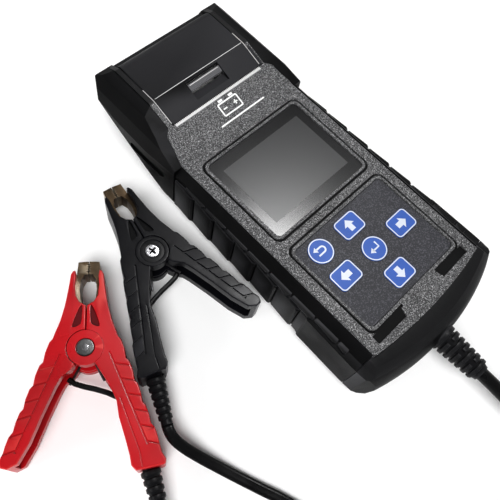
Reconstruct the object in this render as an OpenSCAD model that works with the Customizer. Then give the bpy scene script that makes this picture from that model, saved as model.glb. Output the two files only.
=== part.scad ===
/* [Body] */
// Height of the flat fascia above the table
fascia_z = 38; // [37:0.5:39]
// Height of the printer cover above the table
head_z = 49; // [48.5:0.5:50]
// Wall thickness of the housings
wall = 2.4; // [2:0.2:3]
// Number of rubber grip pads on each side
pad_count = 8; // [6:1:8]
// Spacing of the grip pads
pad_pitch = 15.2; // [14:0.2:15.2]

/* [Display and keys] */
// Width of the groove round the display
display_w = 70; // [68:1:71]
// Height of the groove round the display
display_h = 57; // [55:1:58]
// Diameter of the round keys
key_d = 13.2; // [12:0.2:14]
// Width of the arrow keys
arrow_w = 14.6; // [13:0.2:15]
// Height of the arrow keys
arrow_h = 11.4; // [10:0.2:12]
// Distance between key columns
key_dx = 21.4; // [20:0.2:22]
// Distance between key rows
key_dy = 16.7; // [16:0.1:17.5]
// Free travel of a key
key_travel = 0.5; // [0.3:0.1:0.5]

/* [Printer] */
// Width of the printer cover
cover_w = 61.2; // [60:0.2:61.2]
// Diameter of a full paper roll
roll_d = 30; // [20:1:31]
// Width of the paper
paper_w = 57; // [48:1:57]
// Radius of the platen roller
platen_r = 4.2; // [3.8:0.1:4.2]

/* [Cable and leads] */
// Diameter of the main cable
cable_d = 7; // [6:0.5:7.5]
// Width of a flat twin lead
lead_w = 5.4; // [4:0.2:6]
// Thickness of a flat twin lead
lead_t = 3; // [2.4:0.2:3.2]
// Radius at the middle of the coil's turns
coil_r = 41; // [38:1:42]

/* [Clamps] */
// Thickness of a clamp
clamp_t = 22; // [22:1:24]
// Radius of the hub discs round the pivot
hub_r = 8.2; // [7.6:0.2:8.4]
// Radius of the pivot bolt
bolt_r = 2.5; // [2:0.1:2.8]
// Place of the black clamp's pivot
black_pivot = [-77.5, 19.5];
// Bearing of the black clamp's jaws, clockwise from +Y
black_bearing = 12; // [8:1:14]
// Place of the red clamp's pivot
red_pivot = [-131, 3];
// Bearing of the red clamp's jaws, clockwise from +Y
red_bearing = 39.5; // [36:0.5:42]

/* [Hidden] */

$fn = 48;
fit = 0.1;             // gap between neighbouring parts of the case
split_z = 21;          // height where the two housings meet
core_x = 43;           // half width of the housings inside the rubber
fascia_x = 40.3;       // half width of the flat fascia
fascia_arc_r = 256;    // radius of the fascia's curved lower edge
fascia_end = -94.2;    // lowest point of that edge
fascia_drop = 8;       // depth of the step beyond that edge, under the end bumper
end_arc_r = 145;       // radius of the end bumper in plan
end_y = -110;          // cable end of the bumper
crease_y = 40;         // where the fascia starts to rise to the printer
slope_y = 57;          // where the rise meets the printer cover
fold_y = 72;           // fold line of the cover
slope_z = fascia_z + 5.8;
hinge_y = 96.2;
hinge_z = head_z - 5.6;
tail_r = head_z - hinge_z;
display_y = 5;
window_w = display_w - 6;
window_h = display_h - 5.6;
keypad_y = -56;
keypad_w = 70.4;
keypad_h = 57;
membrane_w = 65.2;
membrane_h = 50.8;
enter_y = keypad_y + 0.3;
key_z = fascia_z - 0.3;
key_cap = 0.7;
key_floor = fascia_z - 1.6;
board_z = 29;
board_t = 1.6;
bay_x = 31.4;          // half width of the printer well
roll_y = 81.5;
roll_z = 26.4;
bay_r = 17;
paper_z = roll_z - bay_r + roll_d / 2 + 0.4;
platen_y = 62.2;
platen_z = 38;
platen_shaft_r = 1.5;
gear_module = 0.5;
gear_x0 = 30.8;
gear_w = 2;
platen_teeth = 16;
idler_teeth = 20;
pinion_teeth = 10;
idler_dir = 240;       // direction from the platen to the idler, degrees in the YZ plane
pinion_dir = 233;      // direction from the idler to the pinion
idler_d = gear_module * (platen_teeth + idler_teeth) / 2;
pinion_d = gear_module * (idler_teeth + pinion_teeth) / 2;
idler_y = platen_y + idler_d * cos(idler_dir);
idler_z = platen_z + idler_d * sin(idler_dir);
pinion_y = idler_y + pinion_d * cos(pinion_dir);
pinion_z = idler_z + pinion_d * sin(pinion_dir);
latch_y = 69;
latch_pin_z = 44.3;
gland_z = 20;
gland_end = -134;
belly_y = 54;          // a point of the slanted underside, at the housing's side
belly_z = 5.7;
belly_rise = 0.53;     // its rise towards the printer end
belly_flare = 1.97;    // its rise outwards
pad_root = 44.4;       // inner side of the grip pads
screw_places = [[36, -84], [38, -14], [37, 44]];

// Outline of the housings inside the rubber, right half from the cable end to the printer end
core_half = [[0, -103.4], [34, -102.2], [40, -98], [core_x, -91], [core_x, 88], [40.5, 99], [36, 104.2], [0, 104.2]];
// Outline of the rubber, right half
rubber_half = [[0, -114], [38, -114], [38, -106.4], [44.6, -103.4], [50, -95.6], [50.4, -88],
               [49.6, -58], [47.6, -54], [47.4, 0], [46.4, 34], [46.8, 42], [47.4, 60], [47.2, 84],
               [46.4, 98], [41, 106.2], [31, 106.2], [31, 103.6], [0, 103.6]];
// Outline of the head cheeks in plan
cheek_half = [[41.4, 39], [52, 39], [52, 108], [31, 108], [31, 104.4], [34, 103], [34, 57.4], [37.6, 54], [38.6, 48]];

// Route of the main cable from the strain relief to the coil
route_cable = [[0, gland_end, 20], [0, -141, 19.9], [0, -150, 19.2], [0.3, -160, 17.8], [1, -170, 16.1],
               [2, -180, 14.2], [3, -190, 12.4], [3.6, -199, 11.2], [4, -207, 10.8]];
// Route from the coil to the splitter
route_tail = [[0, -206, 4.6], [-1, -215, 4.3], [-6, -227, 3.8], [-15, -237, 3.6], [-28, -244, 3.7],
              [-42, -247, 4.2], [-56, -248, 4.5]];
// Route of the black lead from the splitter to its clamp
route_black = [[-86, -244.5, 3.4], [-95, -243.5, 2], [-104, -238, 1.6], [-110, -228, 1.6], [-112, -214, 1.6],
               [-111, -196, 1.6], [-108, -178, 1.6], [-105, -160, 1.6], [-103, -142, 1.6], [-104, -124, 1.6],
               [-108, -109, 1.6], [-112.6, -97, 1.6], [-116.6, -86.5, 1.8], [-120.4, -76.5, 3],
               [-123.8, -67.5, 5.2], [-126.3, -60, 8], [-127.4, -54.4, 10], [-127.1, -50.4, 10.9], [-125.6, -46.6, 11]];
// Route of the red lead from the splitter to its clamp
route_red = [[-86, -251.5, 3.4], [-97, -253, 2], [-112, -252, 1.6], [-127, -246, 1.6], [-140, -234, 1.6],
             [-149, -217, 1.6], [-154, -197, 1.6], [-157, -175, 1.6], [-158.5, -153, 1.6], [-159, -131, 1.6],
             [-160.2, -112, 2.4], [-159.6, -99.4, 5.4], [-157.6, -88.8, 8.8], [-155, -80.8, 10.7], [-152.8, -75.8, 11]];
// Route of the wire that crosses from one arm to the other, in the clamp's own frame
route_jumper = [[8.4, -12, 11], [5.4, -14.2, 11], [1, -15.8, 11], [-4, -17.2, 11], [-9, -19, 11], [-13.4, -21.2, 11]];
coil_centre = [45, -206];
splitter_size = [30, 17, 9];

// ---- helpers ----

function arc_pts(cx, cy, r, a0, a1, n) =
    [for (i = [0 : n]) let (a = a0 + (a1 - a0) * i / n) [cx + r * cos(a), cy + r * sin(a)]];

function round_rect(w, h, r, n = 6) = concat(
    arc_pts(w / 2 - r, h / 2 - r, r, 0, 90, n),
    arc_pts(r - w / 2, h / 2 - r, r, 90, 180, n),
    arc_pts(r - w / 2, r - h / 2, r, 180, 270, n),
    arc_pts(w / 2 - r, r - h / 2, r, 270, 360, n));

function both(half) = concat(half, [for (i = [len(half) - 1 : -1 : 0]) [-half[i][0], half[i][1]]]);

function inset(half, d) = [for (p = half) [max(0, p[0] - d * sign(p[0])), p[1] - d * sign(p[1])]];

function sub(a, b) = [for (i = [0 : 2]) a[i] - b[i]];
function unit(v) = v / norm(v);

// Solid tube along a route, w wide and t thick, with n sides
module sweep(route, w, t, n = 8) {
    last = len(route) - 1;
    rings = [for (i = [0 : last]) let (
        dir = unit(sub(route[min(i + 1, last)], route[max(i - 1, 0)])),
        side = unit(cross(dir, [0, 0, 1])),
        up = cross(side, dir))
        [for (k = [0 : n - 1]) let (a = 360 * (k + 0.5) / n)
            route[i] + side * (w / 2 * cos(a)) + up * (t / 2 * sin(a))]];
    points = [for (ring = rings) each ring];
    sides = [for (i = [0 : last - 1]) for (k = [0 : n - 1])
        [i * n + k, i * n + (k + 1) % n, (i + 1) * n + (k + 1) % n, (i + 1) * n + k]];
    start_cap = [[for (k = [n - 1 : -1 : 0]) k]];
    end_cap = [[for (k = [0 : n - 1]) last * n + k]];
    polyhedron(points, concat(sides, start_cap, end_cap));
}

module plan(points, z0, z1) {
    translate([0, 0, z0]) linear_extrude(z1 - z0) polygon(points);
}

// Outline in the YZ plane, extruded along X
module across(points, x0, x1) {
    translate([x0, 0, 0]) rotate([90, 0, 90]) linear_extrude(x1 - x0) polygon(points);
}

// Outline in the XZ plane, extruded along Y
module along(points, y0, y1) {
    translate([0, y1, 0]) rotate([90, 0, 0]) linear_extrude(y1 - y0) polygon(points);
}

module slab(w, h, r, z0, z1, cx = 0, cy = 0) {
    translate([cx, cy, 0]) plan(round_rect(w, h, r), z0, z1);
}

module rod_x(r, y, z, x0, x1) {
    translate([x0, y, z]) rotate([0, 90, 0]) cylinder(r = r, h = x1 - x0);
}

module rod_y(r, x, z, y0, y1) {
    translate([x, y1, z]) rotate([90, 0, 0]) cylinder(r = r, h = y1 - y0);
}

module mirrored() {
    children();
    mirror([1, 0, 0]) children();
}

// Spur gear in the YZ plane with straight-sided teeth; phase puts a tooth in that direction
module gear(teeth, y, z, phase) {
    r = gear_module * teeth / 2;
    pitch = 360 / teeth;
    outline = [for (i = [0 : teeth - 1]) for (c = [[-0.30, -1.2], [-0.13, 0.8], [0.13, 0.8], [0.30, -1.2]])
        let (a = phase + pitch * (i + c[0]), d = r + gear_module * c[1]) [y + d * cos(a), z + d * sin(a)]];
    across(outline, gear_x0, gear_x0 + gear_w);
}

// ---- case ----

module core(d, z0, z1) {
    plan(both(inset(core_half, d)), z0, z1);
}

// Everything below the fascia's curved lower edge, kept for the end bumper
module beyond_fascia(gap) {
    centre_y = fascia_end + fascia_arc_r;
    edge = arc_pts(0, centre_y, fascia_arc_r + gap, 258, 282, 16);
    plan(concat(edge, [[60, -130], [-60, -130]]), fascia_z - fascia_drop + gap, head_z + 2);
}

module cheek_space(gap) {
    mirrored() plan([for (p = cheek_half) [p[0] - gap, p[1]]], 30 - gap, head_z + 4);
}

module case_envelope(grow) {
    intersection() {
        core(-grow, 0, head_z + 2);
        along([[-core_x - grow, 4 - grow], [-39 - grow, -grow], [39 + grow, -grow], [core_x + grow, 4 - grow],
               [core_x + grow, 29 + grow], [41 + grow, 36.4], [fascia_x + 0.6 + grow, fascia_z - 0.6],
               [fascia_x + grow, fascia_z + grow], [fascia_x + grow, head_z + 2],
               [-fascia_x - grow, head_z + 2], [-fascia_x - grow, fascia_z + grow],
               [-fascia_x - 0.6 - grow, fascia_z - 0.6], [-41 - grow, 36.4], [-core_x - grow, 29 + grow]], -110, 110);
        across([[-108, -grow], [-108, fascia_z + grow], [crease_y, fascia_z + grow], [slope_y, slope_z + grow],
                [fold_y, head_z - 0.4 + grow], [98, head_z - 0.4 + grow], [105, head_z - 4], [105, -grow]], -60, 60);
    }
}

// Everything below the slanted undersides of the head, raised by d
module belly_cut(d) {
    tilt = acos(1 / norm([belly_flare, belly_rise, 1]));
    mirrored() translate([core_x, belly_y, belly_z]) rotate(a = tilt, v = [belly_rise, -belly_flare, 0])
        translate([-100, -100, -100]) cube([200, 200, 100 + d]);
}

module display_opening() {
    slab(window_w + 0.3, window_h + 0.3, 2.6, fascia_z - 2, fascia_z + 2, 0, display_y);
    slab(window_w - 7, window_h - 7, 1, fascia_z - 5, fascia_z, 0, display_y);
    difference() {
        slab(display_w, display_h, 4.5, fascia_z - 1.2, fascia_z + 2, 0, display_y);
        slab(display_w - 2.6, display_h - 2.6, 3.6, fascia_z - 2, fascia_z + 3, 0, display_y);
    }
}

module keypad_opening() {
    slab(membrane_w + 0.3, membrane_h + 0.3, 3, fascia_z - 1.6, fascia_z + 2, 0, keypad_y);
    difference() {
        slab(keypad_w, keypad_h, 4.5, fascia_z - 1.2, fascia_z + 2, 0, keypad_y);
        slab(keypad_w - 2.6, keypad_h - 2.6, 3.6, fascia_z - 2, fascia_z + 3, 0, keypad_y);
        plan([[-12, -90], [-12, -80], [14, -80], [14, -90]], fascia_z - 3, fascia_z + 3);
    }
    mirrored() plan([[13.6, -84], [keypad_w / 2, -84], [keypad_w / 2, -88.6], [15, -88.8]], fascia_z - 2, fascia_z + 2);
    for (k = key_places()) translate([k[0], k[1], fascia_z - 5]) cylinder(r = 2.4, h = 6);
}

module raised_rings() {
    difference() {
        union() {
            slab(display_w - 2.6, display_h - 2.6, 3.6, fascia_z - 0.5, fascia_z + 0.4, 0, display_y);
            slab(keypad_w - 2.6, keypad_h - 2.6, 3.6, fascia_z - 0.5, fascia_z + 0.4, 0, keypad_y);
        }
        slab(window_w + 0.3, window_h + 0.3, 2.6, fascia_z - 2, fascia_z + 2, 0, display_y);
        slab(membrane_w + 0.3, membrane_h + 0.3, 3, fascia_z - 2, fascia_z + 2, 0, keypad_y);
    }
}

module front_housing() {
    color("#4a4a4c") {
        difference() {
            case_envelope(0);
            core(-2, -1, split_z);
            beyond_fascia(0);
            cheek_space(0);
            belly_cut(0);
            // cavity under the fascia
            intersection() {
                core(wall, split_z - 1, fascia_z - 3);
                along([[-core_x + wall, split_z - 1], [core_x - wall, split_z - 1], [core_x - wall, 28.4],
                       [39, 35], [-39, 35], [-core_x + wall, 28.4]], -110, slope_y - 2.4);
            }
            // cavity under the slope
            across([[30, 30], [30, 35], [crease_y, 35], [slope_y - 2.4, slope_z - 3.4], [slope_y - 2.4, 30]], -31, 31);
            // printer well
            plan([[-bay_x, slope_y], [bay_x, slope_y], [bay_x, 102.2], [-bay_x, 102.2]], split_z - 1, head_z + 2);
            plan([[-31, slope_y - 3], [31, slope_y - 3], [31, slope_y + 1], [-31, slope_y + 1]], split_z - 1, slope_z - 4);
            // slot for the gears
            across([[48, 20], [48, 30], [51, 37], [slope_y, 37], [slope_y, 50], [68.8, 50], [68.8, 20]], 30, 33.5);
            // seat for the tear bar
            plan([[-30.1, 55.3], [30.1, 55.3], [30.1, 58], [-30.1, 58]], slope_z - 0.55, slope_z + 2);
            // room above the low rear wall
            plan([[-bay_x, 100], [bay_x, 100], [bay_x, 110], [-bay_x, 110]], hinge_z + 1, head_z + 2);
            display_opening();
            keypad_opening();
            rod_y(6, 0, gland_z, -106, -98);
            rod_x(1.52, hinge_y, hinge_z, -33.2, 33.2);
            for (p = screw_places) mirrored() translate([p[0], p[1], split_z - 1]) cylinder(r = 1.55, h = 7.6);
        }
        raised_rings();
        for (p = screw_places) mirrored() difference() {
            translate([p[0], p[1], split_z + 0.05]) cylinder(r = 3, h = fascia_z - 2 - split_z);
            translate([p[0], p[1], split_z - 1]) cylinder(r = 1.55, h = 7.6);
        }
    }
}

module rear_housing() {
    color("#1c1c1e") {
        difference() {
            intersection() {
                case_envelope(0);
                core(-2, 0, split_z - 0.02);
            }
            belly_cut(0);
            difference() {
                core(wall, wall, split_z + 1);
                belly_cut(wall);
            }
            rod_y(6, 0, gland_z, -106, -98);
            for (p = screw_places) mirrored() {
                translate([p[0], p[1], -1]) cylinder(r = 3.1, h = 3.4);
                translate([p[0], p[1], -1]) cylinder(r = 1.6, h = 6);
            }
            for (i = [-2 : 2]) plan([[-20, 14 * i - 36], [20, 14 * i - 36], [20, 14 * i - 33], [-20, 14 * i - 33]], -1, 0.8);
        }
        for (p = screw_places) mirrored() difference() {
            translate([p[0], p[1], wall - 0.1]) cylinder(r = 4.2, h = split_z - wall);
            translate([p[0], p[1], -1]) cylinder(r = 1.6, h = split_z + 2);
            translate([p[0], p[1], -1]) cylinder(r = 3.1, h = 3.4);
        }
    }
}

module rubber_section(z_low) {
    along([[41.3, 36.2], [41.1, 37.3], [41.7, 37.6], [46.2, 32.2], [52, 31.2], [52, 9], [47, z_low], [42, z_low]],
          -120, 60);
}

module grip_pads() {
    for (i = [0 : pad_count - 1]) {
        y = 39 - pad_pitch * i;
        x = 47.3 + 0.36 * i;
        plan([[pad_root, y - 0.4], [x - 1.2, y - 0.4], [x, y - pad_pitch + 1.4], [x - 0.6, y - pad_pitch + 0.4],
              [pad_root, y - pad_pitch + 0.4]], 7.6, 29.4);
    }
}

module head_cheek() {
    intersection() {
        union() {
            plan(cheek_half, 30, head_z + 4);
            plan([[42, 39], [52, 39], [52, 108], [31, 108], [31, 104.3], [42, 104.3]], 4.5, 31);
        }
        along([[30, 4.5], [45, 4.5], [46.6, 9], [47.8, 20], [47.6, 33], [44.6, 41.5], [40, head_z - 2.4],
               [34, head_z - 1.6], [30, head_z - 1.6]], 30, 110);
        across([[39, 4.5], [39, fascia_z - 0.4], [slope_y, slope_z - 0.2], [fold_y, head_z - 1.4], [99, head_z - 1.4],
                [104.4, 45.4], [106.2, 42], [106.2, 9], [103.6, 4.5]], 0, 60);
    }
}

module bumper(side) {
    color("#121214") mirror([side < 0 ? 1 : 0, 0, 0]) difference() {
        union() {
            intersection() {
                union() {
                    intersection() {
                        rubber_section(4.5);
                        plan([[30, -90], [60, -90], [60, 39.1], [30, 39.1]], 0, 40);
                        plan(inset(rubber_half, 1.2), 0, 40);
                    }
                    intersection() {
                        rubber_section(4.5);
                        plan([[30, -90], [60, -90], [60, -60], [52, -57], [30, -57]], 0, 40);
                    }
                    head_cheek();
                }
                plan(rubber_half, 0, head_z + 2);
            }
            grip_pads();
        }
        difference() {
            case_envelope(fit);
            cheek_space(-fit);
        }
        belly_cut(0);
        // recessed slot in the side of the head
        translate([46, 59, 26]) rotate([0, 90, 0]) linear_extrude(4) polygon(round_rect(5, 26, 2.4));
    }
}

module end_bumper() {
    centre_y = end_y + end_arc_r;
    inner_r = end_arc_r - 30;
    color("#232325") difference() {
        intersection() {
            translate([0, centre_y, 0]) rotate_extrude($fn = 200) polygon([
                [inner_r, 36.9], [end_arc_r - 8, 35.4], [end_arc_r - 4, 31.6], [end_arc_r - 1, 24.4],
                [end_arc_r, 17], [end_arc_r - 1, 7.6], [end_arc_r - 4, 4.5], [inner_r, 4.5]]);
            plan(both([[0, -114], [38, -114], [38, -106.4], [44.6, -103.4], [50, -95.6], [50.4, -90.2]]),
                 0, 40);
            union() {
                mirrored() rubber_section(4.5);
                plan([[-43, -90], [43, -90], [43, -114], [-43, -114]], 4.5, 40);
            }
        }
        difference() {
            case_envelope(fit);
            beyond_fascia(fit);
        }
        rod_y(8.5, 0, gland_z, -120, -100);
    }
}

module display_window() {
    color("#26282b") slab(window_w, window_h, 2.4, fascia_z - 1.95, fascia_z - 0.35, 0, display_y);
}

module lcd_module() {
    color("#5a5f5a") {
        slab(window_w - 4, window_h - 4, 0.8, board_z + board_t + 0.2, fascia_z - 3.1, 0, display_y);
        slab(window_w - 8, window_h - 8, 0.4, fascia_z - 3.2, fascia_z - 2.1, 0, display_y);
    }
}

// Centres of the keys: enter, up, down, left, right, back
function key_places() = [for (k = [[0, 0], [0, 1], [0, -1], [-1, 0], [1, 0], [-1, 1]])
    [k[0] * key_dx, enter_y + k[1] * key_dy]];

function key_outline(i, grow) = (i == 0 || i == 5)
    ? arc_pts(0, 0, key_d / 2 + grow, 0, 350, 35)
    : round_rect(arrow_w + 2 * grow, arrow_h + 2 * grow, 2.4 + grow);

module keypad_membrane() {
    color("#55555a") difference() {
        slab(membrane_w, membrane_h, 2.8, key_floor + 0.05, fascia_z - 0.6, 0, keypad_y);
        for (i = [0 : 5]) translate([key_places()[i][0], key_places()[i][1], 0])
            plan(key_outline(i, 0.2), key_floor - 1, fascia_z + 1);
    }
}

module key(i) {
    p = key_places()[i];
    color("#4470cc") translate([p[0], p[1], 0]) {
        plan(key_outline(i, 0), key_z - key_cap, key_z);
        translate([0, 0, board_z + board_t + 2.6]) cylinder(r = 2, h = key_z - key_cap - board_z - board_t - 2.6);
    }
}

module main_board() {
    color("#1f5a34") {
        difference() {
            slab(72, 128, 1, board_z, board_z + board_t, 0, -26);
            for (p = screw_places) mirrored() translate([p[0], p[1], board_z - 1]) cylinder(r = 3.4, h = 4);
        }
        for (p = key_places()) translate([p[0], p[1], board_z + board_t]) {
            plan([[-2.6, -2.6], [2.6, -2.6], [2.6, 2.6], [-2.6, 2.6]], 0, 1.2);
            cylinder(r = 1.6, h = 2);
        }
    }
    color("#202020") {
        for (i = [0 : 3]) plan([[-24 + 13 * i, -30], [-15 + 13 * i, -30], [-15 + 13 * i, -21], [-24 + 13 * i, -21]],
                               board_z - 2, board_z);
        for (i = [0 : 2]) translate([-22 + 20 * i, -70, board_z - 12]) cylinder(r = 5, h = 12);
        plan([[-14, 18], [14, 18], [14, 30], [-14, 30]], board_z - 8, board_z);
    }
}

module case_screws() {
    color("silver") for (p = screw_places) mirrored() translate([p[0], p[1], 0]) difference() {
        union() {
            translate([0, 0, 0.4]) cylinder(r = 2.9, h = 1.9);
            translate([0, 0, 2]) cylinder(r = 1.5, h = split_z + 3.6);
        }
        translate([0, 0, 0]) cylinder(r = 1.3, h = 1.5, $fn = 6);
    }
}

// ---- printer ----

module printer_cover() {
    lid = concat(
        [[slope_y + 0.6, slope_z - 1.7], [slope_y + 0.6, slope_z], [fold_y, head_z]],
        arc_pts(hinge_y, hinge_z, tail_r, 90, -20, 10),
        [[hinge_y + 2, hinge_z - 3.2], [hinge_y - 2, hinge_z - 3.2], [hinge_y - 4, hinge_z - 1],
         [hinge_y - 6, head_z - 2.1], [fold_y + 0.6, head_z - 2.1], [slope_y + 3, slope_z - 1.2]]);
    color("#2a2a2c") difference() {
        union() {
            across(lid, -cover_w / 2, cover_w / 2);
            // ear over the gear slot
            across([[slope_y + 0.6, slope_z - 1.7], [slope_y + 0.6, slope_z], [68, head_z - 1.44],
                    [68, head_z - 3.2]], 30, 33.1);
            // tray under the latch tab
            across([[60.2, 42.7], [60.2, 44.2], [66, 44.2], [66, 42.7]], -12, 12);
            mirrored() across([[66, 42.7], [66, 45.9], [70.6, 47.6], [70.6, 42.7]], 11.4, 13);
        }
        plan([[-11.2, 60.6], [11.2, 60.6], [11.2, 70.9], [-11.2, 70.9]], 43.4, head_z + 1);
        rod_x(1.8, hinge_y, hinge_z, -40, 40);
        rod_x(0.8, latch_y, latch_pin_z, -28, 28);
    }
}

module platen_brackets() {
    side = [[slope_y + 2, slope_z - 1.8], [62, 43.2], [fold_y - 1, 46.3], [fold_y - 1, latch_pin_z - 1.8],
            [fold_y - 4.6, platen_z - 3.2], [fold_y - 12, platen_z - 3.2], [slope_y + 1.2, platen_z - 1]];
    color("silver") difference() {
        mirrored() across(side, 29, 30.4);
        rod_x(platen_shaft_r + 0.3, platen_y, platen_z, -40, 40);
    }
}

module cover_latch() {
    color("#9b9ba0") difference() {
        union() {
            rod_x(1.5, latch_y, latch_pin_z, -10.8, 10.8);
            across([[65.6, latch_pin_z + 1.4], [66, 46.3], [69.3, 47.5], [69.8, latch_pin_z + 1], [68.6, latch_pin_z]],
                   -10.8, 10.8);
            mirrored() across([[68.2, latch_pin_z], [70, latch_pin_z], [70, 41.6], [71.1, 40.8], [70.6, 39.8],
                               [68.2, 39.8]], 8, 10.6);
        }
        rod_x(1.1, latch_y, latch_pin_z, -20, 20);
        for (i = [0 : 8]) rod_y(0.35, -9.6 + 2.4 * i, 47.9, 60, 75);
    }
}

module latch_pin() {
    color("silver") rod_x(0.78, latch_y, latch_pin_z, -13, 13);
}

module cover_hinge_pin() {
    color("silver") rod_x(1.5, hinge_y, hinge_z, -33, 33);
}

module tear_bar() {
    teeth = 60;
    tooth = 1;
    edge = [for (i = [0 : teeth - 1]) each [[i * tooth - 30, 57.3], [i * tooth - 29.5, 56.5]]];
    color("silver") plan(concat(edge, [[30, 57.3], [30, 55.4], [-30, 55.4]]), slope_z - 0.5, slope_z + 0.1);
}

module platen_roller() {
    color("#303034") {
        rod_x(platen_r, platen_y, platen_z, -26.8, 26.8);
        rod_x(platen_shaft_r, platen_y, platen_z, -30.2, gear_x0 + gear_w + 0.2);
    }
    color("ivory") gear(platen_teeth, platen_y, platen_z, idler_dir);
}

module idler_gear() {
    color("ivory") difference() {
        gear(idler_teeth, idler_y, idler_z, idler_dir + 180 + 180 / idler_teeth);
        rod_x(1.3, idler_y, idler_z, 20, 40);
    }
}

module motor_pinion() {
    // the idler's teeth seen from the pinion decide where the pinion's gap goes
    idler_phase = idler_dir + 180 + 180 / idler_teeth;
    steps = (pinion_dir - idler_phase) * idler_teeth / 360;
    miss = (steps - round(steps)) * 360 / idler_teeth;
    color("gold") {
        gear(pinion_teeth, pinion_y, pinion_z, pinion_dir + 180 + 180 / pinion_teeth + miss * idler_teeth / pinion_teeth);
        rod_x(0.8, pinion_y, pinion_z, 25, gear_x0 + gear_w + 0.2);
    }
}

module feed_motor() {
    color("#8a8d92") difference() {
        union() {
            rod_x(6.4, pinion_y, pinion_z, 8, 28);
            across([[pinion_y - 9, pinion_z - 3.4], [pinion_y + 9, pinion_z - 3.4], [pinion_y + 9, pinion_z + 3.4],
                    [pinion_y - 9, pinion_z + 3.4]], 27, 28.4);
        }
        rod_x(1.1, pinion_y, pinion_z, 24, 40);
    }
}

module print_head() {
    color("#c9c2b0") {
        plan([[-28, slope_y - 0.6], [28, slope_y - 0.6], [28, slope_y + 0.2], [-28, slope_y + 0.2]],
             platen_z - 5, platen_z + 1.4);
        plan([[-28, slope_y - 2.6], [28, slope_y - 2.6], [28, slope_y - 0.6], [-28, slope_y - 0.6]],
             platen_z - 4, platen_z + 1.4);
    }
}

module paper_roll() {
    color("white") difference() {
        rod_x(roll_d / 2, roll_y, paper_z, -paper_w / 2, paper_w / 2);
        rod_x(6.2, roll_y, paper_z, -40, 40);
    }
}

module paper_bay() {
    outer = concat([[roll_y - bay_r - 1.2, 33]], arc_pts(roll_y, roll_z, bay_r + 1.2, 180, 360, 16),
                   [[roll_y + bay_r + 1.2, 33]]);
    inner = concat([[roll_y - bay_r, 34]], arc_pts(roll_y, roll_z, bay_r, 180, 360, 16), [[roll_y + bay_r, 34]]);
    plate = [[pinion_y - 4, 20], [roll_y - bay_r + 1, 20], [roll_y - bay_r + 1, 33], [pinion_y - 1, 33]];
    color("#3a3a3d") {
        difference() {
            across(outer, -30.4, 30.4);
            across(inner, -29.2, 29.2);
        }
        mirrored() {
            difference() {
                across(plate, 29.2, 30.4);
                rod_x(1.2, pinion_y, pinion_z, 20, 40);
            }
            across([[71.6, 32], [73.6, 32], [73.6, 42], [71.6, 42]], 29.2, 30.4);
        }
        rod_x(0.9, 72.6, 41, -29.4, 29.4);
        rod_x(1, idler_y, idler_z, 29.4, gear_x0 + gear_w + 0.1);
    }
}

// ---- cable and leads ----

module cable_gland() {
    ribs = 6;
    rib = 3.5;
    edge = [for (i = [0 : ribs - 1]) let (r = 7.35 - 0.2 * i, y = 110 + rib * i)
        each [[r - 1.3, y], [r - 1.3, y + 0.9], [r, y + 1.3], [r, y + rib - 0.4], [r - 1.3, y + rib]]];
    color("#101012") rotate([90, 0, 0]) translate([0, gland_z, 0]) rotate_extrude() polygon(concat(
        [[0, 98.6], [7.6, 98.6], [7.6, 100.7], [5.9, 100.7], [5.9, 104], [7.35, 104]], edge,
        [[5.4, 131.4], [4.4, -gland_end], [0, -gland_end]]));
}

module main_cable() {
    color("#141416") sweep(route_cable, cable_d, cable_d);
}

module cable_tail() {
    color("#141416") sweep(route_tail, cable_d, cable_d);
}

// Section of the coil: two turns side by side with a third on top
function coil_section(grow) = let (r = cable_d / 2 + grow, x = cable_d / 2 + 0.25, z = 4.6) concat(
    arc_pts(coil_r - x, z, r, 120, 270, 6), arc_pts(coil_r + x, z, r, 270, 420, 6),
    arc_pts(coil_r, z + 6.2, r, 30, 150, 5));

module cable_coil() {
    color("#141416") translate([coil_centre[0], coil_centre[1], 0])
        rotate_extrude($fn = 96) polygon(coil_section(0));
}

module coil_tie() {
    color("#1a1a1c") translate([coil_centre[0], coil_centre[1], 0])
        difference() {
            along(coil_section(1), -3, 3);
            along(coil_section(0.35), -4, 4);
        }
}

module cable_splitter() {
    w = splitter_size[0];
    h = splitter_size[1];
    t = splitter_size[2];
    color("#18181a") translate([-71, -248, 0]) {
        difference() {
            along([[-w / 2, 2], [-w / 2 + 2, 0], [w / 2 - 2, 0], [w / 2, 2], [w / 2, t - 2], [w / 2 - 2, t],
                   [-w / 2 + 2, t], [-w / 2, t - 2]], -h / 2, h / 2);
            for (s = [-1, 1]) scale([1, s, 1]) plan([[2, -h], [w, -h], [w, -h / 2 + 4]], -1, t + 1);
        }
    }
}

module lead_black() {
    color("#121214") sweep(route_black, lead_w, lead_t);
}

module lead_red() {
    color("#121214") sweep(route_red, lead_w, lead_t);
}

// ---- clamps: drawn with the pivot at the origin and the jaws along +Y ----

clamp_mid = clamp_t / 2;
arm_low = 0.6;         // lower face of an arm
layer = 5.2;           // thickness of each hub disc
slot_half = 5.2;       // half height of the channel in the arms
hinge_gap = 0.3;

// Outer edge of an arm, from the jaw tip down to the foot
arm_edge = [[2.9, 41], [6.6, 40.4], [7.6, 38.4], [8.2, 31], [9.2, 24], [10, 19.4], [11.6, 13], [13.6, 7],
            [15.8, 1.4], [17.6, -3.4], [19.2, -7.6], [21.6, -14.4], [24.4, -22.8], [26.6, -28.4], [28.6, -33.6],
            [30.6, -39], [32.4, -43.6]];
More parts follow.
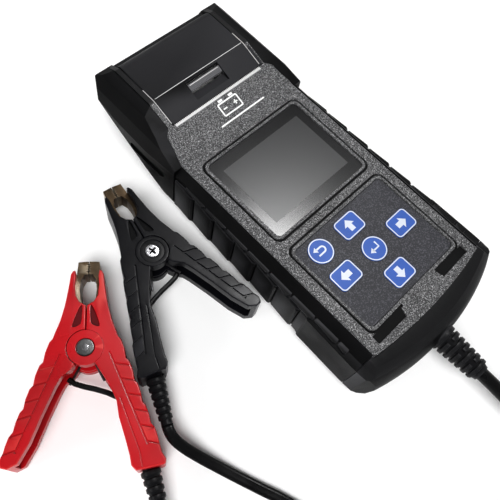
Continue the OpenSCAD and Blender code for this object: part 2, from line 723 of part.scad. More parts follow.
// Inner edge of an arm beside the jaws
gap_edge = [[0.2, 20.4], [3.2, 22], [5, 25], [5.5, 30], [4.9, 35], [2.9, 38.6]];
free_foot = [[33.4, -46.6], [30.6, -49], [26, -48], [21.8, -40], [17, -27.6], [12.4, -17], [10.3, -13], [6, -10]];
cable_foot = [[35, -50.4], [34.4, -52.2], [22, -54], [20.4, -49], [17.6, -40.4], [15, -31.6], [14, -24.6],
              [10.6, -17], [6, -10]];
free_pocket = [[7, -13.4], [10.4, -15.4], [16, -28], [20.8, -40.4], [25.6, -52], [31, -47], [26.4, -34.4],
               [22.2, -23], [17.2, -9], [14.6, -4.6], [10.6, -6.4]];
cable_pocket = [[7, -13.4], [9.8, -18], [12.8, -25.4], [13.4, -31.6], [16, -40.6], [18.8, -47], [28.6, -47],
                [25.6, -34.4], [22, -24], [17.2, -9], [14.6, -4.6], [10.6, -6.4]];
// Room for the legs of the spring and the end of the wire, in the middle of an arm
leg_slot = [[1, 0], [-12, -3], [-12, -18], [11, -18], [12.4, -10.4], [8.6, -6.6]];
tooth_count = 5;

module arm_blank(foot) {
    plan(concat([[0.2, 0]], gap_edge, arm_edge, foot), arm_low, clamp_t - arm_low);
}

function jaw_outline(grow) = concat(
    [[-1, 44.4 + grow], [5 + grow, 44 + grow], [5.5 + grow, 38.2], [5.3 + grow, 36], [5.9 + grow, 30],
     [5.4 + grow, 25], [4.9 + grow, 21], [4.9 + grow, 13.6 - grow], [-1, 13.6 - grow]]);

module jaw_channel() {
    plan(jaw_outline(0.1), clamp_mid - slot_half, clamp_mid + slot_half);
}

module jaw() {
    opening = [[-2, 21], [0.6, 21.2], [2.6, 22.6], [3.6, 25.4], [4, 30], [3.6, 34.4], [2, 37.4], [-2, 37.6]];
    color("#6a553a") difference() {
        plan(jaw_outline(0), clamp_mid - slot_half + 0.1, clamp_mid + slot_half - 0.1);
        plan([[-3, 12], [0.2, 12], [0.2, 46], [-3, 46]], 0, clamp_t);
        plan(opening, 0, clamp_t);
        for (i = [0 : tooth_count - 1]) let (y = 38.6 + 1.2 * i)
            plan([[-1, y], [1.1, y + 0.55], [-1, y + 1.1]], 0, clamp_t);
        for (i = [0 : 3]) let (y = 15 + 1.4 * i)
            plan([[-1, y], [1.1, y + 0.6], [-1, y + 1.2]], 0, clamp_t);
    }
}

module hub_disc(r, z0, z1) {
    translate([0, 0, z0]) cylinder(r = r, h = z1 - z0);
}

module free_arm() {
    low = arm_low + layer + hinge_gap - 0.4;
    difference() {
        union() {
            difference() {
                arm_blank(free_foot);
                jaw_channel();
                plan(free_pocket, clamp_mid - slot_half, clamp_mid + slot_half);
                hub_disc(hub_r + 0.35, -1, low);
                hub_disc(hub_r + 0.35, clamp_t - low, clamp_t + 1);
            }
            hub_disc(hub_r - 0.4, low, clamp_t - low);
        }
        hub_disc(bolt_r + 0.3, -1, clamp_t + 1);
        hub_disc(5.4, clamp_mid - 3.6, clamp_mid + 3.6);
        plan(leg_slot, clamp_mid - 3.6, clamp_mid + 3.6);
        // finger grooves
        for (i = [0 : 3]) translate([21.6 + 2.6 * i, -14 - 7 * i, -1]) cylinder(r = 1.1, h = clamp_t + 2);
    }
}

module cable_arm() {
    low = arm_low + layer - 0.4;
    difference() {
        union() {
            difference() {
                mirror([1, 0, 0]) arm_blank(cable_foot);
                mirror([1, 0, 0]) jaw_channel();
                mirror([1, 0, 0]) plan(cable_pocket, clamp_mid - slot_half, clamp_mid + slot_half);
                hub_disc(hub_r + 0.1, low, clamp_t - low);
            }
            hub_disc(hub_r, arm_low - 0.3, low);
            hub_disc(hub_r, clamp_t - low, clamp_t - arm_low + 0.3);
        }
        plan([[-1, 0], [-4, -18], [-11, -18], [-11, -9.6], [-8, -6]], clamp_mid - 3.6, clamp_mid + 3.6);
        hub_disc(bolt_r + 0.02, -1, clamp_t + 1);
        hub_disc(4.3, -1, 1.6);
        hub_disc(6.1, clamp_t - 1.2, clamp_t + 1);
        // opening for the lead
        translate([-27.6, -56, clamp_mid]) rotate([-90, 0, -14]) cylinder(r = 3.6, h = 12);
        for (i = [0 : 3]) translate([-21.6 - 2.7 * i, -14 - 7.2 * i, -1]) cylinder(r = 1.1, h = clamp_t + 2);
    }
}

module pivot_bolt() {
    color("#b9bbc0") {
        difference() {
            union() {
                hub_disc(bolt_r, 0.6, clamp_t - 0.4);
                hub_disc(6, clamp_t - 1.2, clamp_t - 0.7);
                hub_disc(3.8, clamp_t - 0.7, clamp_t - 0.1);
                translate([0, 0, 0.1]) cylinder(r1 = 3, r2 = 4.1, h = 1.4);
            }
            for (a = [0, 90]) rotate(a) translate([-2.4, -0.4, clamp_t - 1]) cube([4.8, 0.8, 2]);
        }
    }
}

module clamp_spring() {
    color("#a8aab0") {
        for (i = [-2 : 2]) translate([0, 0, clamp_mid + 1.3 * i]) rotate_extrude() translate([4.3, 0]) circle(r = 0.6, $fn = 16);
        translate([2.6, -3.4, clamp_mid + 2.6]) rotate([90, 0, 27]) cylinder(r = 0.6, h = 12);
        translate([-2.6, -3.4, clamp_mid - 2.6]) rotate([90, 0, -27]) cylinder(r = 0.6, h = 12);
    }
}

module clamp_boot() {
    steps = 6;
    rib = 3.4;
    edge = [for (i = [0 : steps - 1]) let (r = 4.5 - 0.24 * i, z = rib * i + 2)
        each [[r - 0.7, z], [r, z + 0.5], [r, z + rib - 1.2], [r - 0.7, z + rib - 0.7]]];
    color("#101012") translate([-27.8, -53.4, clamp_mid]) rotate([90, 0, -14.4]) translate([0, 0, -6]) {
        cylinder(r = 3.4, h = 8);
        translate([0, 0, 4.4]) rotate_extrude() polygon(concat([[0, 2]], edge, [[2.7, 24], [0, 24]]));
    }
}

module clamp_jumper() {
    color("#101012") sweep(route_jumper, 2.6, 2.6);
}

module at_black() {
    translate([black_pivot[0], black_pivot[1], 0]) rotate([0, 0, -black_bearing]) children();
}

module at_red() {
    translate([red_pivot[0], red_pivot[1], clamp_t]) rotate([0, 0, -red_bearing]) rotate([0, 180, 0]) children();
}

module black_cable_arm() { color("#16161c") at_black() cable_arm(); }
module black_free_arm() { color("#16161c") at_black() free_arm(); }
module black_jaw_fixed() { at_black() mirror([1, 0, 0]) jaw(); }
module black_jaw_free() { at_black() jaw(); }
module black_pivot_bolt() { at_black() pivot_bolt(); }
module black_spring() { at_black() clamp_spring(); }
module black_boot() { at_black() clamp_boot(); }
module black_jumper() { at_black() clamp_jumper(); }
module red_cable_arm() { color("#c8202a") at_red() cable_arm(); }
module red_free_arm() { color("#c8202a") at_red() free_arm(); }
module red_jaw_fixed() { at_red() mirror([1, 0, 0]) jaw(); }
module red_jaw_free() { at_red() jaw(); }
module red_pivot_bolt() { at_red() pivot_bolt(); }
module red_spring() { at_red() clamp_spring(); }
module red_boot() { at_red() clamp_boot(); }
module red_jumper() { at_red() clamp_jumper(); }

// ---- selection ----

front_housing();
rear_housing();
bumper(-1);  // bumper_left
bumper(1);  // bumper_right
end_bumper();
display_window();
lcd_module();
keypad_membrane();
key(0);  // key_enter
key(1);  // key_up
key(2);  // key_down
key(3);  // key_left
key(4);  // key_right
key(5);  // key_back
main_board();
case_screws();
printer_cover();
platen_brackets();
cover_latch();
latch_pin();
cover_hinge_pin();
tear_bar();
platen_roller();
print_head();
paper_roll();
paper_bay();
feed_motor();
motor_pinion();
idler_gear();
cable_gland();
main_cable();
cable_coil();
coil_tie();
cable_tail();
cable_splitter();
lead_black();
lead_red();
black_cable_arm();
black_free_arm();
black_jaw_fixed();
black_jaw_free();
black_pivot_bolt();
black_spring();
black_boot();
black_jumper();
red_cable_arm();
red_free_arm();
red_jaw_fixed();
red_jaw_free();
red_pivot_bolt();
red_spring();
red_boot();
red_jumper();
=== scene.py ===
import math

import bmesh
import bpy
from mathutils import Matrix, Vector


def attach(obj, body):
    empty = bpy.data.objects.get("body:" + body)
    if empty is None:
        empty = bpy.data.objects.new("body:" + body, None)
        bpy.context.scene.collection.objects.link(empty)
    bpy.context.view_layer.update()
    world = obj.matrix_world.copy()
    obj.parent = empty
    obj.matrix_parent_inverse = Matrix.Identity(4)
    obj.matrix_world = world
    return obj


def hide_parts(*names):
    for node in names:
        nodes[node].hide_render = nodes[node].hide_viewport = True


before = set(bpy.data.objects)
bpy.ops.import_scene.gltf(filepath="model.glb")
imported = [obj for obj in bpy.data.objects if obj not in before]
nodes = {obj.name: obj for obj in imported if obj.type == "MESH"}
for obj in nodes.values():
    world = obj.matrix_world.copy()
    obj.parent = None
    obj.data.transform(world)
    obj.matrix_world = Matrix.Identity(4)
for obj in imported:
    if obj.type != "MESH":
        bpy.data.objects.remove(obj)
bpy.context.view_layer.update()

MM = 0.001


# ---------------------------------------------------------------- camera

CAMERA_AT = (-149.3, -73.3, 286.5)
CAMERA_RIGHT = (0.7079, -0.6941, 0.1305)
CAMERA_BACK = (-0.3715, -0.2089, 0.9046)
CAMERA_LENS, CAMERA_SENSOR = 41.76, 36


def add_camera():
    right = Vector(CAMERA_RIGHT).normalized()
    back = Vector(CAMERA_BACK)
    back = (back - right * back.dot(right)).normalized()
    up = back.cross(right)
    place = Vector(CAMERA_AT) * MM
    data = bpy.data.cameras.new("camera")
    data.lens = CAMERA_LENS
    data.sensor_width = CAMERA_SENSOR
    camera = bpy.data.objects.new("camera", data)
    bpy.context.scene.collection.objects.link(camera)
    camera.matrix_world = Matrix((
        (right.x, up.x, back.x, place.x),
        (right.y, up.y, back.y, place.y),
        (right.z, up.z, back.z, place.z),
        (0, 0, 0, 1)))
    bpy.context.scene.camera = camera


add_camera()


# ---------------------------------------------------------------- mesh helpers

def new_object(name, data, body, material):
    """Puts a mesh or curve in the scene as a piece that rides on a body."""
    obj = bpy.data.objects.new(name, data)
    bpy.context.scene.collection.objects.link(obj)
    data.materials.clear()
    data.materials.append(material)
    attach(obj, body)
    return obj


def smooth_path(points, step):
    """Centripetal Catmull-Rom curve through the points, sampled about every step."""
    pts = [Vector(p) for p in points]
    pts = [2 * pts[0] - pts[1]] + pts + [2 * pts[-1] - pts[-2]]
    out = []
    for i in range(1, len(pts) - 2):
        p0, p1, p2, p3 = pts[i - 1:i + 3]
        count = max(2, round((p2 - p1).length / step))
        for k in range(count):
            t = k / count
            out.append(0.5 * ((2 * p1) + (p2 - p0) * t + (2 * p0 - 5 * p1 + 4 * p2 - p3) * t * t
                              + (3 * p1 - p0 - 3 * p2 + p3) * t ** 3))
    out.append(pts[-2])
    return out


def tube(name, path, profile, body, material):
    """Sweeps a closed profile of (side, up) points along a path that stays near the table."""
    bm = bmesh.new()
    rings = []
    for i, p in enumerate(path):
        ahead = path[min(i + 1, len(path) - 1)] - path[max(i - 1, 0)]
        ahead.normalize()
        side = ahead.cross(Vector((0, 0, 1))).normalized()
        up = side.cross(ahead)
        rings.append([bm.verts.new(p + side * a + up * b) for a, b in profile])
    n = len(profile)
    for r0, r1 in zip(rings, rings[1:]):
        for k in range(n):
            bm.faces.new((r0[k], r0[(k + 1) % n], r1[(k + 1) % n], r1[k]))
    bm.faces.new(rings[0][::-1])
    bm.faces.new(rings[-1])
    bmesh.ops.recalc_face_normals(bm, faces=bm.faces)
    mesh = bpy.data.meshes.new(name)
    bm.to_mesh(mesh)
    bm.free()
    for f in mesh.polygons:
        f.use_smooth = True
    return new_object(name, mesh, body, material)


# ---------------------------------------------------------------- materials

def make_material(name, base, roughness=0.5, metallic=0.0, spots=(), grain=None, bump=(), coat=0.0,
                  coat_roughness=0.1, vary=0.0, vary_scale=30.0, rough_vary=0.0, edge_wear_and_highlight=None, specular=0.5,
                  scratches=0.0, paint=()):
    """Procedural material. spots: (scale, amount, colour) flecks; bump: (scale, height in metres) noises;
    vary: cloudy brightness change; rough_vary: cloudy roughness change; edge_wear_and_highlight: (colour,
    amount) on sharp edges, partly worn edges and partly painted highlight; paint: (axis, from, to, colour)
    takes over beyond a place along an axis, in millimetres."""
    material = bpy.data.materials.new(name)
    material.use_nodes = True
    tree = material.node_tree
    shader = tree.nodes["Principled BSDF"]
    link = tree.links.new
    shader.inputs["Metallic"].default_value = metallic
    shader.inputs["Specular IOR Level"].default_value = specular
    shader.inputs["Coat Weight"].default_value = coat
    shader.inputs["Coat Roughness"].default_value = coat_roughness
    coords = tree.nodes.new("ShaderNodeTexCoord").outputs["Object"]

    def noise_at(scale, detail=4.0, stretch=None):
        source = coords
        if stretch is not None:
            mapping = tree.nodes.new("ShaderNodeMapping")
            mapping.inputs["Scale"].default_value = stretch
            link(coords, mapping.inputs["Vector"])
            source = mapping.outputs["Vector"]
        node = tree.nodes.new("ShaderNodeTexNoise")
        node.inputs["Scale"].default_value = scale
        node.inputs["Detail"].default_value = detail
        link(source, node.inputs["Vector"])
        return node.outputs["Fac"]

    def ramp(value, low, high, out_low=0.0, out_high=1.0):
        node = tree.nodes.new("ShaderNodeMapRange")
        node.interpolation_type = "SMOOTHSTEP"
        node.inputs["From Min"].default_value = low
        node.inputs["From Max"].default_value = high
        node.inputs["To Min"].default_value = out_low
        node.inputs["To Max"].default_value = out_high
        link(value, node.inputs["Value"])
        return node.outputs["Result"]

    def mix(factor, a, b):
        node = tree.nodes.new("ShaderNodeMix")
        node.data_type = "RGBA"
        link(factor, node.inputs["Factor"])
        for value, socket in ((a, node.inputs["A"]), (b, node.inputs["B"])):
            if hasattr(value, "links"):
                link(value, socket)
            else:
                socket.default_value = (*value, 1.0)
        return node.outputs["Result"]

    if vary > 0:
        dark = tuple(c * (1 - vary) for c in base)
        light = tuple(min(1, c * (1 + vary)) for c in base)
        colour = mix(ramp(noise_at(vary_scale), 0.3, 0.7), dark, light)
    else:
        colour = mix(ramp(noise_at(60.0), 0.3, 0.7), tuple(c * 0.94 for c in base), base)
    for scale, share, fleck in spots:
        colour = mix(ramp(noise_at(scale, 2.0), 1 - share, 1 - share + 0.06), colour, fleck)
    for axis, start, end, tint in paint:
        parts = tree.nodes.new("ShaderNodeSeparateXYZ")
        link(coords, parts.inputs["Vector"])
        colour = mix(ramp(parts.outputs[axis], start * MM, end * MM), colour, tint)
    # lighter colour on sharp convex edges, found by pointiness: partly worn edges, partly painted highlight
    if edge_wear_and_highlight is not None:
        tint, amount = edge_wear_and_highlight
        pointiness = tree.nodes.new("ShaderNodeNewGeometry").outputs["Pointiness"]
        colour = mix(ramp(pointiness, 0.52, 0.6, 0.0, amount), colour, tint)
    link(colour, shader.inputs["Base Color"])
    rough_low = max(0.02, roughness - rough_vary - 0.02)
    link(ramp(noise_at(45.0), 0.3, 0.7, rough_low, roughness + rough_vary + 0.02), shader.inputs["Roughness"])
    height = None
    for scale, depth in bump:
        node = tree.nodes.new("ShaderNodeBump")
        node.inputs["Distance"].default_value = depth
        node.inputs["Strength"].default_value = 1.0
        link(noise_at(scale, 3.0), node.inputs["Height"])
        if height is not None:
            link(height, node.inputs["Normal"])
        height = node.outputs["Normal"]
    if scratches > 0:
        node = tree.nodes.new("ShaderNodeBump")
        node.inputs["Distance"].default_value = scratches
        link(noise_at(90.0, 2.0, (1.0, 40.0, 1.0)), node.inputs["Height"])
        if height is not None:
            link(height, node.inputs["Normal"])
        height = node.outputs["Normal"]
    if height is not None:
        link(height, shader.inputs["Normal"])
    return material


case_mat = make_material("case_plastic", (0.040, 0.040, 0.042), 0.48,
                         spots=((1350.0, 0.50, (0.13, 0.13, 0.134)), (2300.0, 0.42, (0.46, 0.46, 0.47))),
                         bump=((1500.0, 0.00014), (420.0, 0.00005)), vary=0.12, specular=0.3, rough_vary=0.05,
                         paint=(("Y", 70.6, 71.2, (0.008, 0.008, 0.009)),))
rear_mat = make_material("rear_plastic", (0.012, 0.012, 0.013), 0.55, bump=((900.0, 0.0001),), vary=0.1,
                         specular=0.15)
rubber_mat = make_material("bumper_rubber", (0.003, 0.003, 0.0033), 0.48, bump=((1100.0, 0.00006),), vary=0.2,
                           rough_vary=0.06, specular=0.10, edge_wear_and_highlight=((0.05, 0.05, 0.055), 0.4))
pad_mat = make_material("pad_rubber", (0.004, 0.004, 0.0045), 0.5, bump=((1300.0, 0.00008),), vary=0.2,
                        specular=0.12, edge_wear_and_highlight=((0.12, 0.12, 0.13), 0.35))
end_mat = make_material("end_rubber", (0.0035, 0.0035, 0.004), 0.5, bump=((1300.0, 0.00010),), vary=0.2,
                        specular=0.10, edge_wear_and_highlight=((0.12, 0.12, 0.13), 0.6),
                        paint=(("Z", 31.0, 31.8, (0.015, 0.015, 0.016)),))
glass_mat = make_material("display_glass", (0.006, 0.006, 0.007), 0.24, coat=0.2, coat_roughness=0.18,
                          rough_vary=-0.017)
screen_mat = make_material("display_screen", (0.020, 0.0205, 0.022), 0.33, coat=0.2, coat_roughness=0.3,
                           scratches=0.000002, rough_vary=-0.017, vary=0.02)
membrane_mat = make_material("membrane", (0.031, 0.0315, 0.038), 0.5,
                             spots=((1700.0, 0.47, (0.085, 0.085, 0.100)),),
                             bump=((2300.0, 0.00006),), vary=0.06, specular=0.3)
lid_mat = make_material("lid_plastic", (0.0025, 0.0025, 0.003), 0.42, bump=((1700.0, 0.00003),), vary=0.3,
                        vary_scale=22.0, rough_vary=0.05, specular=0.07, edge_wear_and_highlight=((0.12, 0.12, 0.13), 0.3),
                        paint=(("Y", 71.6, 72.2, (0.011, 0.011, 0.0118)),))
# pale material for thin beads that stand in for highlights on rounded edges: painted highlight
painted_highlight_mat = make_material("painted_highlight", (0.62, 0.62, 0.62), 0.3, bump=((900.0, 0.00003),), vary=0.2)
latch_mat = make_material("latch_plastic", (0.012, 0.012, 0.013), 0.5, bump=((1500.0, 0.00012),), vary=0.2,
                          edge_wear_and_highlight=((0.4, 0.4, 0.42), 0.35), specular=0.15)
# near-black plates set in grooves and recesses: painted shade
shade_black_mat = make_material("painted_shade_black", (0.0035, 0.0035, 0.004), 0.6, bump=((900.0, 0.00005),), vary=0.2,
                         specular=0.15)
steel_mat = make_material("steel", (0.62, 0.62, 0.64), 0.25, metallic=1.0, scratches=0.00003, rough_vary=0.08)
bronze_mat = make_material("jaw_bronze", (0.115, 0.078, 0.045), 0.36, metallic=0.8, bump=((700.0, 0.00005),),
                           vary=0.4, vary_scale=160.0, rough_vary=0.1, edge_wear_and_highlight=((0.6, 0.52, 0.4), 0.6))
cable_mat = make_material("cable_jacket", (0.006, 0.006, 0.0065), 0.3, bump=((260.0, 0.00006),), vary=0.2,
                          rough_vary=0.08, specular=0.25)
strain_mat = make_material("strain_rubber", (0.008, 0.008, 0.009), 0.42, bump=((900.0, 0.00005),), vary=0.15,
                           specular=0.2, edge_wear_and_highlight=((0.07, 0.07, 0.075), 0.5))
black_mat = make_material("clamp_black", (0.004, 0.004, 0.0056), 0.34, bump=((240.0, 0.00004),), vary=0.2,
                          rough_vary=0.06, specular=0.18, edge_wear_and_highlight=((0.05, 0.05, 0.06), 0.4))
red_mat = make_material("clamp_red", (0.44, 0.008, 0.014), 0.34, coat=0.1, bump=((240.0, 0.00004),),
                        vary=0.14, specular=0.35, rough_vary=0.06, edge_wear_and_highlight=((0.8, 0.12, 0.1), 0.4))
# deep red plates set in the red clamp's recesses: painted shade
red_shade_mat = make_material("clamp_red_painted_shade", (0.13, 0.003, 0.006), 0.5, bump=((240.0, 0.00004),),
                             specular=0.2)
rivet_mat = make_material("rivet_steel", (0.13, 0.13, 0.13), 0.35, metallic=0.9, bump=((800.0, 0.00006),),
                          vary=0.3)
blue_mat = make_material("key_blue", (0.034, 0.110, 0.42), 0.45, spots=((2600.0, 0.36, (0.06, 0.17, 0.52)),),
                         bump=((1900.0, 0.00003),), vary=0.06, specular=0.3)
pale_mat = make_material("key_print", (0.60, 0.64, 0.72), 0.4, bump=((1900.0, 0.00002),), vary=0.04)
spring_mat = make_material("spring_steel", (0.10, 0.10, 0.105), 0.35, metallic=0.8, scratches=0.00002)
tear_mat = make_material("tear_bar_steel", (0.80, 0.80, 0.80), 0.32, metallic=0.3, scratches=0.00002)
white_mat = make_material("case_print", (0.82, 0.82, 0.82), 0.4, bump=((1500.0, 0.00004),), vary=0.06)
paper_mat = make_material("thermal_paper", (0.84, 0.84, 0.82), 0.6, bump=((600.0, 0.00003),), vary=0.04)
board_mat = make_material("circuit_board", (0.01, 0.10, 0.04), 0.35, coat=0.5, vary=0.3, vary_scale=200.0)
white_gear_mat = make_material("gear_plastic", (0.75, 0.73, 0.66), 0.4, bump=((800.0, 0.00003),))
brass_mat = make_material("pinion_brass", (0.75, 0.55, 0.22), 0.28, metallic=1.0, scratches=0.00002)
ceramic_mat = make_material("head_ceramic", (0.55, 0.52, 0.44), 0.35, vary=0.1)
lcd_mat = make_material("lcd_layer", (0.12, 0.13, 0.13), 0.2, vary=0.05)
bay_mat = make_material("bay_plastic", (0.02, 0.02, 0.022), 0.5, bump=((900.0, 0.00008),))

node_materials = {
    "front_housing": case_mat, "rear_housing": rear_mat, "bumper_left": rubber_mat,
    "bumper_right": rubber_mat, "end_bumper": end_mat, "display_window": glass_mat, "lcd_module": lcd_mat,
    "keypad_membrane": membrane_mat, "main_board": board_mat, "case_screws": steel_mat,
    "printer_cover": lid_mat, "platen_brackets": steel_mat, "cover_latch": latch_mat,
    "latch_pin": steel_mat, "cover_hinge_pin": steel_mat, "tear_bar": tear_mat, "platen_roller": bay_mat,
    "print_head": ceramic_mat, "paper_roll": paper_mat, "paper_bay": bay_mat, "feed_motor": steel_mat,
    "motor_pinion": brass_mat, "idler_gear": white_gear_mat, "cable_gland": strain_mat,
    "coil_tie": strain_mat, "cable_splitter": strain_mat,
}
for key in ("enter", "up", "down", "left", "right", "back"):
    node_materials["key_" + key] = blue_mat
for colour, plastic in (("black", black_mat), ("red", red_mat)):
    node_materials.update({
        colour + "_cable_arm": plastic, colour + "_free_arm": plastic, colour + "_jaw_fixed": bronze_mat,
        colour + "_jaw_free": bronze_mat, colour + "_pivot_bolt": steel_mat, colour + "_spring": spring_mat,
        colour + "_boot": strain_mat, colour + "_jumper": cable_mat})


BEVEL_ANGLE = math.radians(28)
WELD_DISTANCE = 0.000004


def dress(node, width=0.0):
    """Gives a CAD node its material, and rounds its edges by a width in metres."""
    obj = nodes[node]
    obj.data.materials.clear()
    obj.data.materials.append(node_materials[node])
    if width > 0:
        weld = obj.modifiers.new("weld", "WELD")
        weld.merge_threshold = WELD_DISTANCE
        bevel = obj.modifiers.new("bevel", "BEVEL")
        bevel.width = width
        bevel.segments = 2
        bevel.limit_method = "ANGLE"
        bevel.angle_limit = BEVEL_ANGLE


for name in node_materials:
    dress(name)


# ---------------------------------------------------------------- solid helpers

def prism(name, outline, z0, z1):
    """Mesh of an outline in millimetres, extruded along Z."""
    bm = bmesh.new()
    low = [bm.verts.new((x * MM, y * MM, z0 * MM)) for x, y in outline]
    high = [bm.verts.new((x * MM, y * MM, z1 * MM)) for x, y in outline]
    n = len(outline)
    for k in range(n):
        bm.faces.new((low[k], low[(k + 1) % n], high[(k + 1) % n], high[k]))
    bm.faces.new(low[::-1])
    bm.faces.new(high)
    bmesh.ops.recalc_face_normals(bm, faces=bm.faces)
    mesh = bpy.data.meshes.new(name)
    bm.to_mesh(mesh)
    bm.free()
    return mesh


def disc(radius, count=48):
    """Outline of a circle about the origin."""
    angles = [2 * math.pi * k / count for k in range(count)]
    return [(radius * math.cos(a), radius * math.sin(a)) for a in angles]


def rounded_rect(w, h, r, centre=(0, 0)):
    """Outline of a rectangle with round corners."""
    steps = 6
    out = []
    for cx, cy, a0 in ((w / 2 - r, h / 2 - r, 0), (r - w / 2, h / 2 - r, 90), (r - w / 2, r - h / 2, 180),
                       (w / 2 - r, r - h / 2, 270)):
        for k in range(steps + 1):
            a = math.radians(a0 + 90 * k / steps)
            out.append((centre[0] + cx + r * math.cos(a), centre[1] + cy + r * math.sin(a)))
    return out


def join_meshes(name, meshes):
    """One mesh of several, where they may overlap."""
    bm = bmesh.new()
    for mesh in meshes:
        bm.from_mesh(mesh)
    out = bpy.data.meshes.new(name)
    bm.to_mesh(out)
    bm.free()
    return out


def modified(mesh, *steps):
    """Applies modifiers, given as (type, {setting: value}), and returns the resulting mesh."""
    obj = bpy.data.objects.new("work", mesh)
    bpy.context.scene.collection.objects.link(obj)
    for kind, settings in steps:
        modifier = obj.modifiers.new(kind, kind)
        for key, value in settings.items():
            setattr(modifier, key, value)
    bpy.context.view_layer.update()
    evaluated = obj.evaluated_get(bpy.context.evaluated_depsgraph_get())
    out = bpy.data.meshes.new_from_object(evaluated)
    bpy.data.objects.remove(obj)
    return out


def rounded(width, angle, segments):
    """The modifier step that rounds all edges sharper than an angle in degrees."""
    return ("BEVEL", {"width": width * MM, "segments": segments, "limit_method": "ANGLE",
                      "angle_limit": math.radians(angle), "use_clamp_overlap": False, "profile": 0.6})


def combine(mesh, others, operation):
    """Applies a boolean with each of a list of closed meshes, one after the other."""
    for other in others:
        tool = bpy.data.objects.new("tool", other)
        bpy.context.scene.collection.objects.link(tool)
        mesh = modified(mesh, ("BOOLEAN", {"object": tool, "operation": operation, "solver": "MANIFOLD"}))
        bpy.data.objects.remove(tool)
    return mesh


def carve(mesh, cutters):
    """Cuts closed meshes out of a mesh."""
    return combine(mesh, cutters, "DIFFERENCE")


def unite(mesh, extras):
    """Adds closed meshes to a mesh."""
    return combine(mesh, extras, "UNION")


def shade(mesh, angle=32):
    """Smooth shading, with the edges sharper than an angle in degrees kept sharp."""
    for f in mesh.polygons:
        f.use_smooth = True
    mesh.set_sharp_from_angle(angle=math.radians(angle))
    return mesh


def spline_outline(points, step=1.0):
    """Closed smooth outline through points in millimetres."""
    pts = [Vector((x, y)) for x, y in points]
    n = len(pts)
    out = []
    for i in range(n):
        p0, p1, p2, p3 = (pts[(i + k - 1) % n] for k in range(4))
        count = max(1, round((p2 - p1).length / step))
        for k in range(count):
            t = k / count
            q = 0.5 * ((2 * p1) + (p2 - p0) * t + (2 * p0 - 5 * p1 + 4 * p2 - p3) * t * t
                       + (3 * p1 - p0 - 3 * p2 + p3) * t ** 3)
            out.append((q.x, q.y))
    return out


# ---------------------------------------------------------------- cords

CABLE_D = 7.0
GLAND_END = (0, -134, 20)
ROUTE_IN = [GLAND_END, (0, -141, 19.9), (0, -150, 19.2), (0.3, -160, 17.8), (1, -170, 16.1), (2, -180, 14.2),
            (3, -190, 12.4), (3.6, -199, 11.2)]
ROUTE_OUT = [(-1, -215, 4.3), (-6, -227, 3.8), (-15, -237, 3.6), (-28, -244, 3.7), (-42, -247, 4.2),
             (-56, -248, 4.5)]
ROUTE_BLACK = [(-86, -244.5, 3.4), (-95, -243.5, 2), (-104, -238, 1.6), (-110, -228, 1.6), (-112, -214, 1.6),
               (-111, -196, 1.6), (-108, -178, 1.6), (-105, -160, 1.6), (-103, -142, 1.6), (-104, -124, 1.6),
               (-108, -109, 1.6), (-112.6, -97, 1.6), (-116.6, -86.5, 1.8), (-120.4, -76.5, 3),
               (-123.8, -67.5, 5.2), (-126.3, -60, 8), (-127.4, -54.4, 10), (-127.1, -50.4, 10.9),
               (-125.6, -46.6, 11)]
ROUTE_RED = [(-86, -251.5, 3.4), (-97, -253, 2), (-112, -252, 1.6), (-127, -246, 1.6), (-140, -234, 1.6),
             (-149, -217, 1.6), (-154, -197, 1.6), (-157, -175, 1.6), (-158.5, -153, 1.6), (-159, -131, 1.6),
             (-160.2, -112, 2.4), (-159.6, -99.4, 5.4), (-157.6, -88.8, 8.8), (-155, -80.8, 10.7),
             (-152.8, -75.8, 11)]
COIL_CENTRE = (45, -206)
# (angle, radius, height) of the coil's turns, eased between these stations
COIL = [(180, 41, 10.8), (495, 41, 10.8), (545, 37.25, 4.6), (872, 37.25, 4.6), (905, 44.75, 4.6),
        (1260, 44.75, 4.6)]
LEAD_W, LEAD_H = 5.4, 3.0
# (distance behind the device's middle, radius) along the strain relief's core
GLAND_CORE = [(98.7, 7.5), (100.6, 7.5), (100.7, 5.8), (104, 5.8), (104.1, 7.2), (109.4, 7.2), (109.6, 5.7),
              (131.4, 4.9), (134, 4.3)]
GLAND_Z = 20
GLAND_RIBS, FIRST_RIB_Y, RIB_PITCH, RIB_W = 7, 110.6, 3.5, 2.0


def metres(points):
    """Vectors in metres of points in millimetres."""
    return [Vector(p) * MM for p in points]


def coil_points(step):
    """Points of the coil's turns in millimetres, one every step degrees or a little less."""
    out = []
    for (a0, r0, z0), (a1, r1, z1) in zip(COIL, COIL[1:]):
        count = math.ceil((a1 - a0) / step)
        for k in range(count):
            t = k / count
            e = t * t * (3 - 2 * t)
            a = math.radians(a0 + (a1 - a0) * t)
            r = r0 + (r1 - r0) * e
            z = z0 + (z1 - z0) * e
            out.append((COIL_CENTRE[0] + r * math.cos(a), COIL_CENTRE[1] + r * math.sin(a), z))
    out.append((COIL_CENTRE[0] - COIL[-1][1], COIL_CENTRE[1], COIL[-1][2]))
    return out


def gland_core():
    count = 40
    angles = [2 * math.pi * k / count for k in range(count)]
    bm = bmesh.new()
    rings = [[bm.verts.new((r * MM * math.cos(a), -y * MM, (GLAND_Z + r * math.sin(a)) * MM)) for a in angles]
             for y, r in GLAND_CORE]
    for a, b in zip(rings, rings[1:]):
        for k in range(count):
            bm.faces.new((a[k], a[(k + 1) % count], b[(k + 1) % count], b[k]))
    bm.faces.new(rings[0][::-1])
    bm.faces.new(rings[-1])
    bmesh.ops.recalc_face_normals(bm, faces=bm.faces)
    mesh = bpy.data.meshes.new("core")
    bm.to_mesh(mesh)
    bm.free()
    return mesh


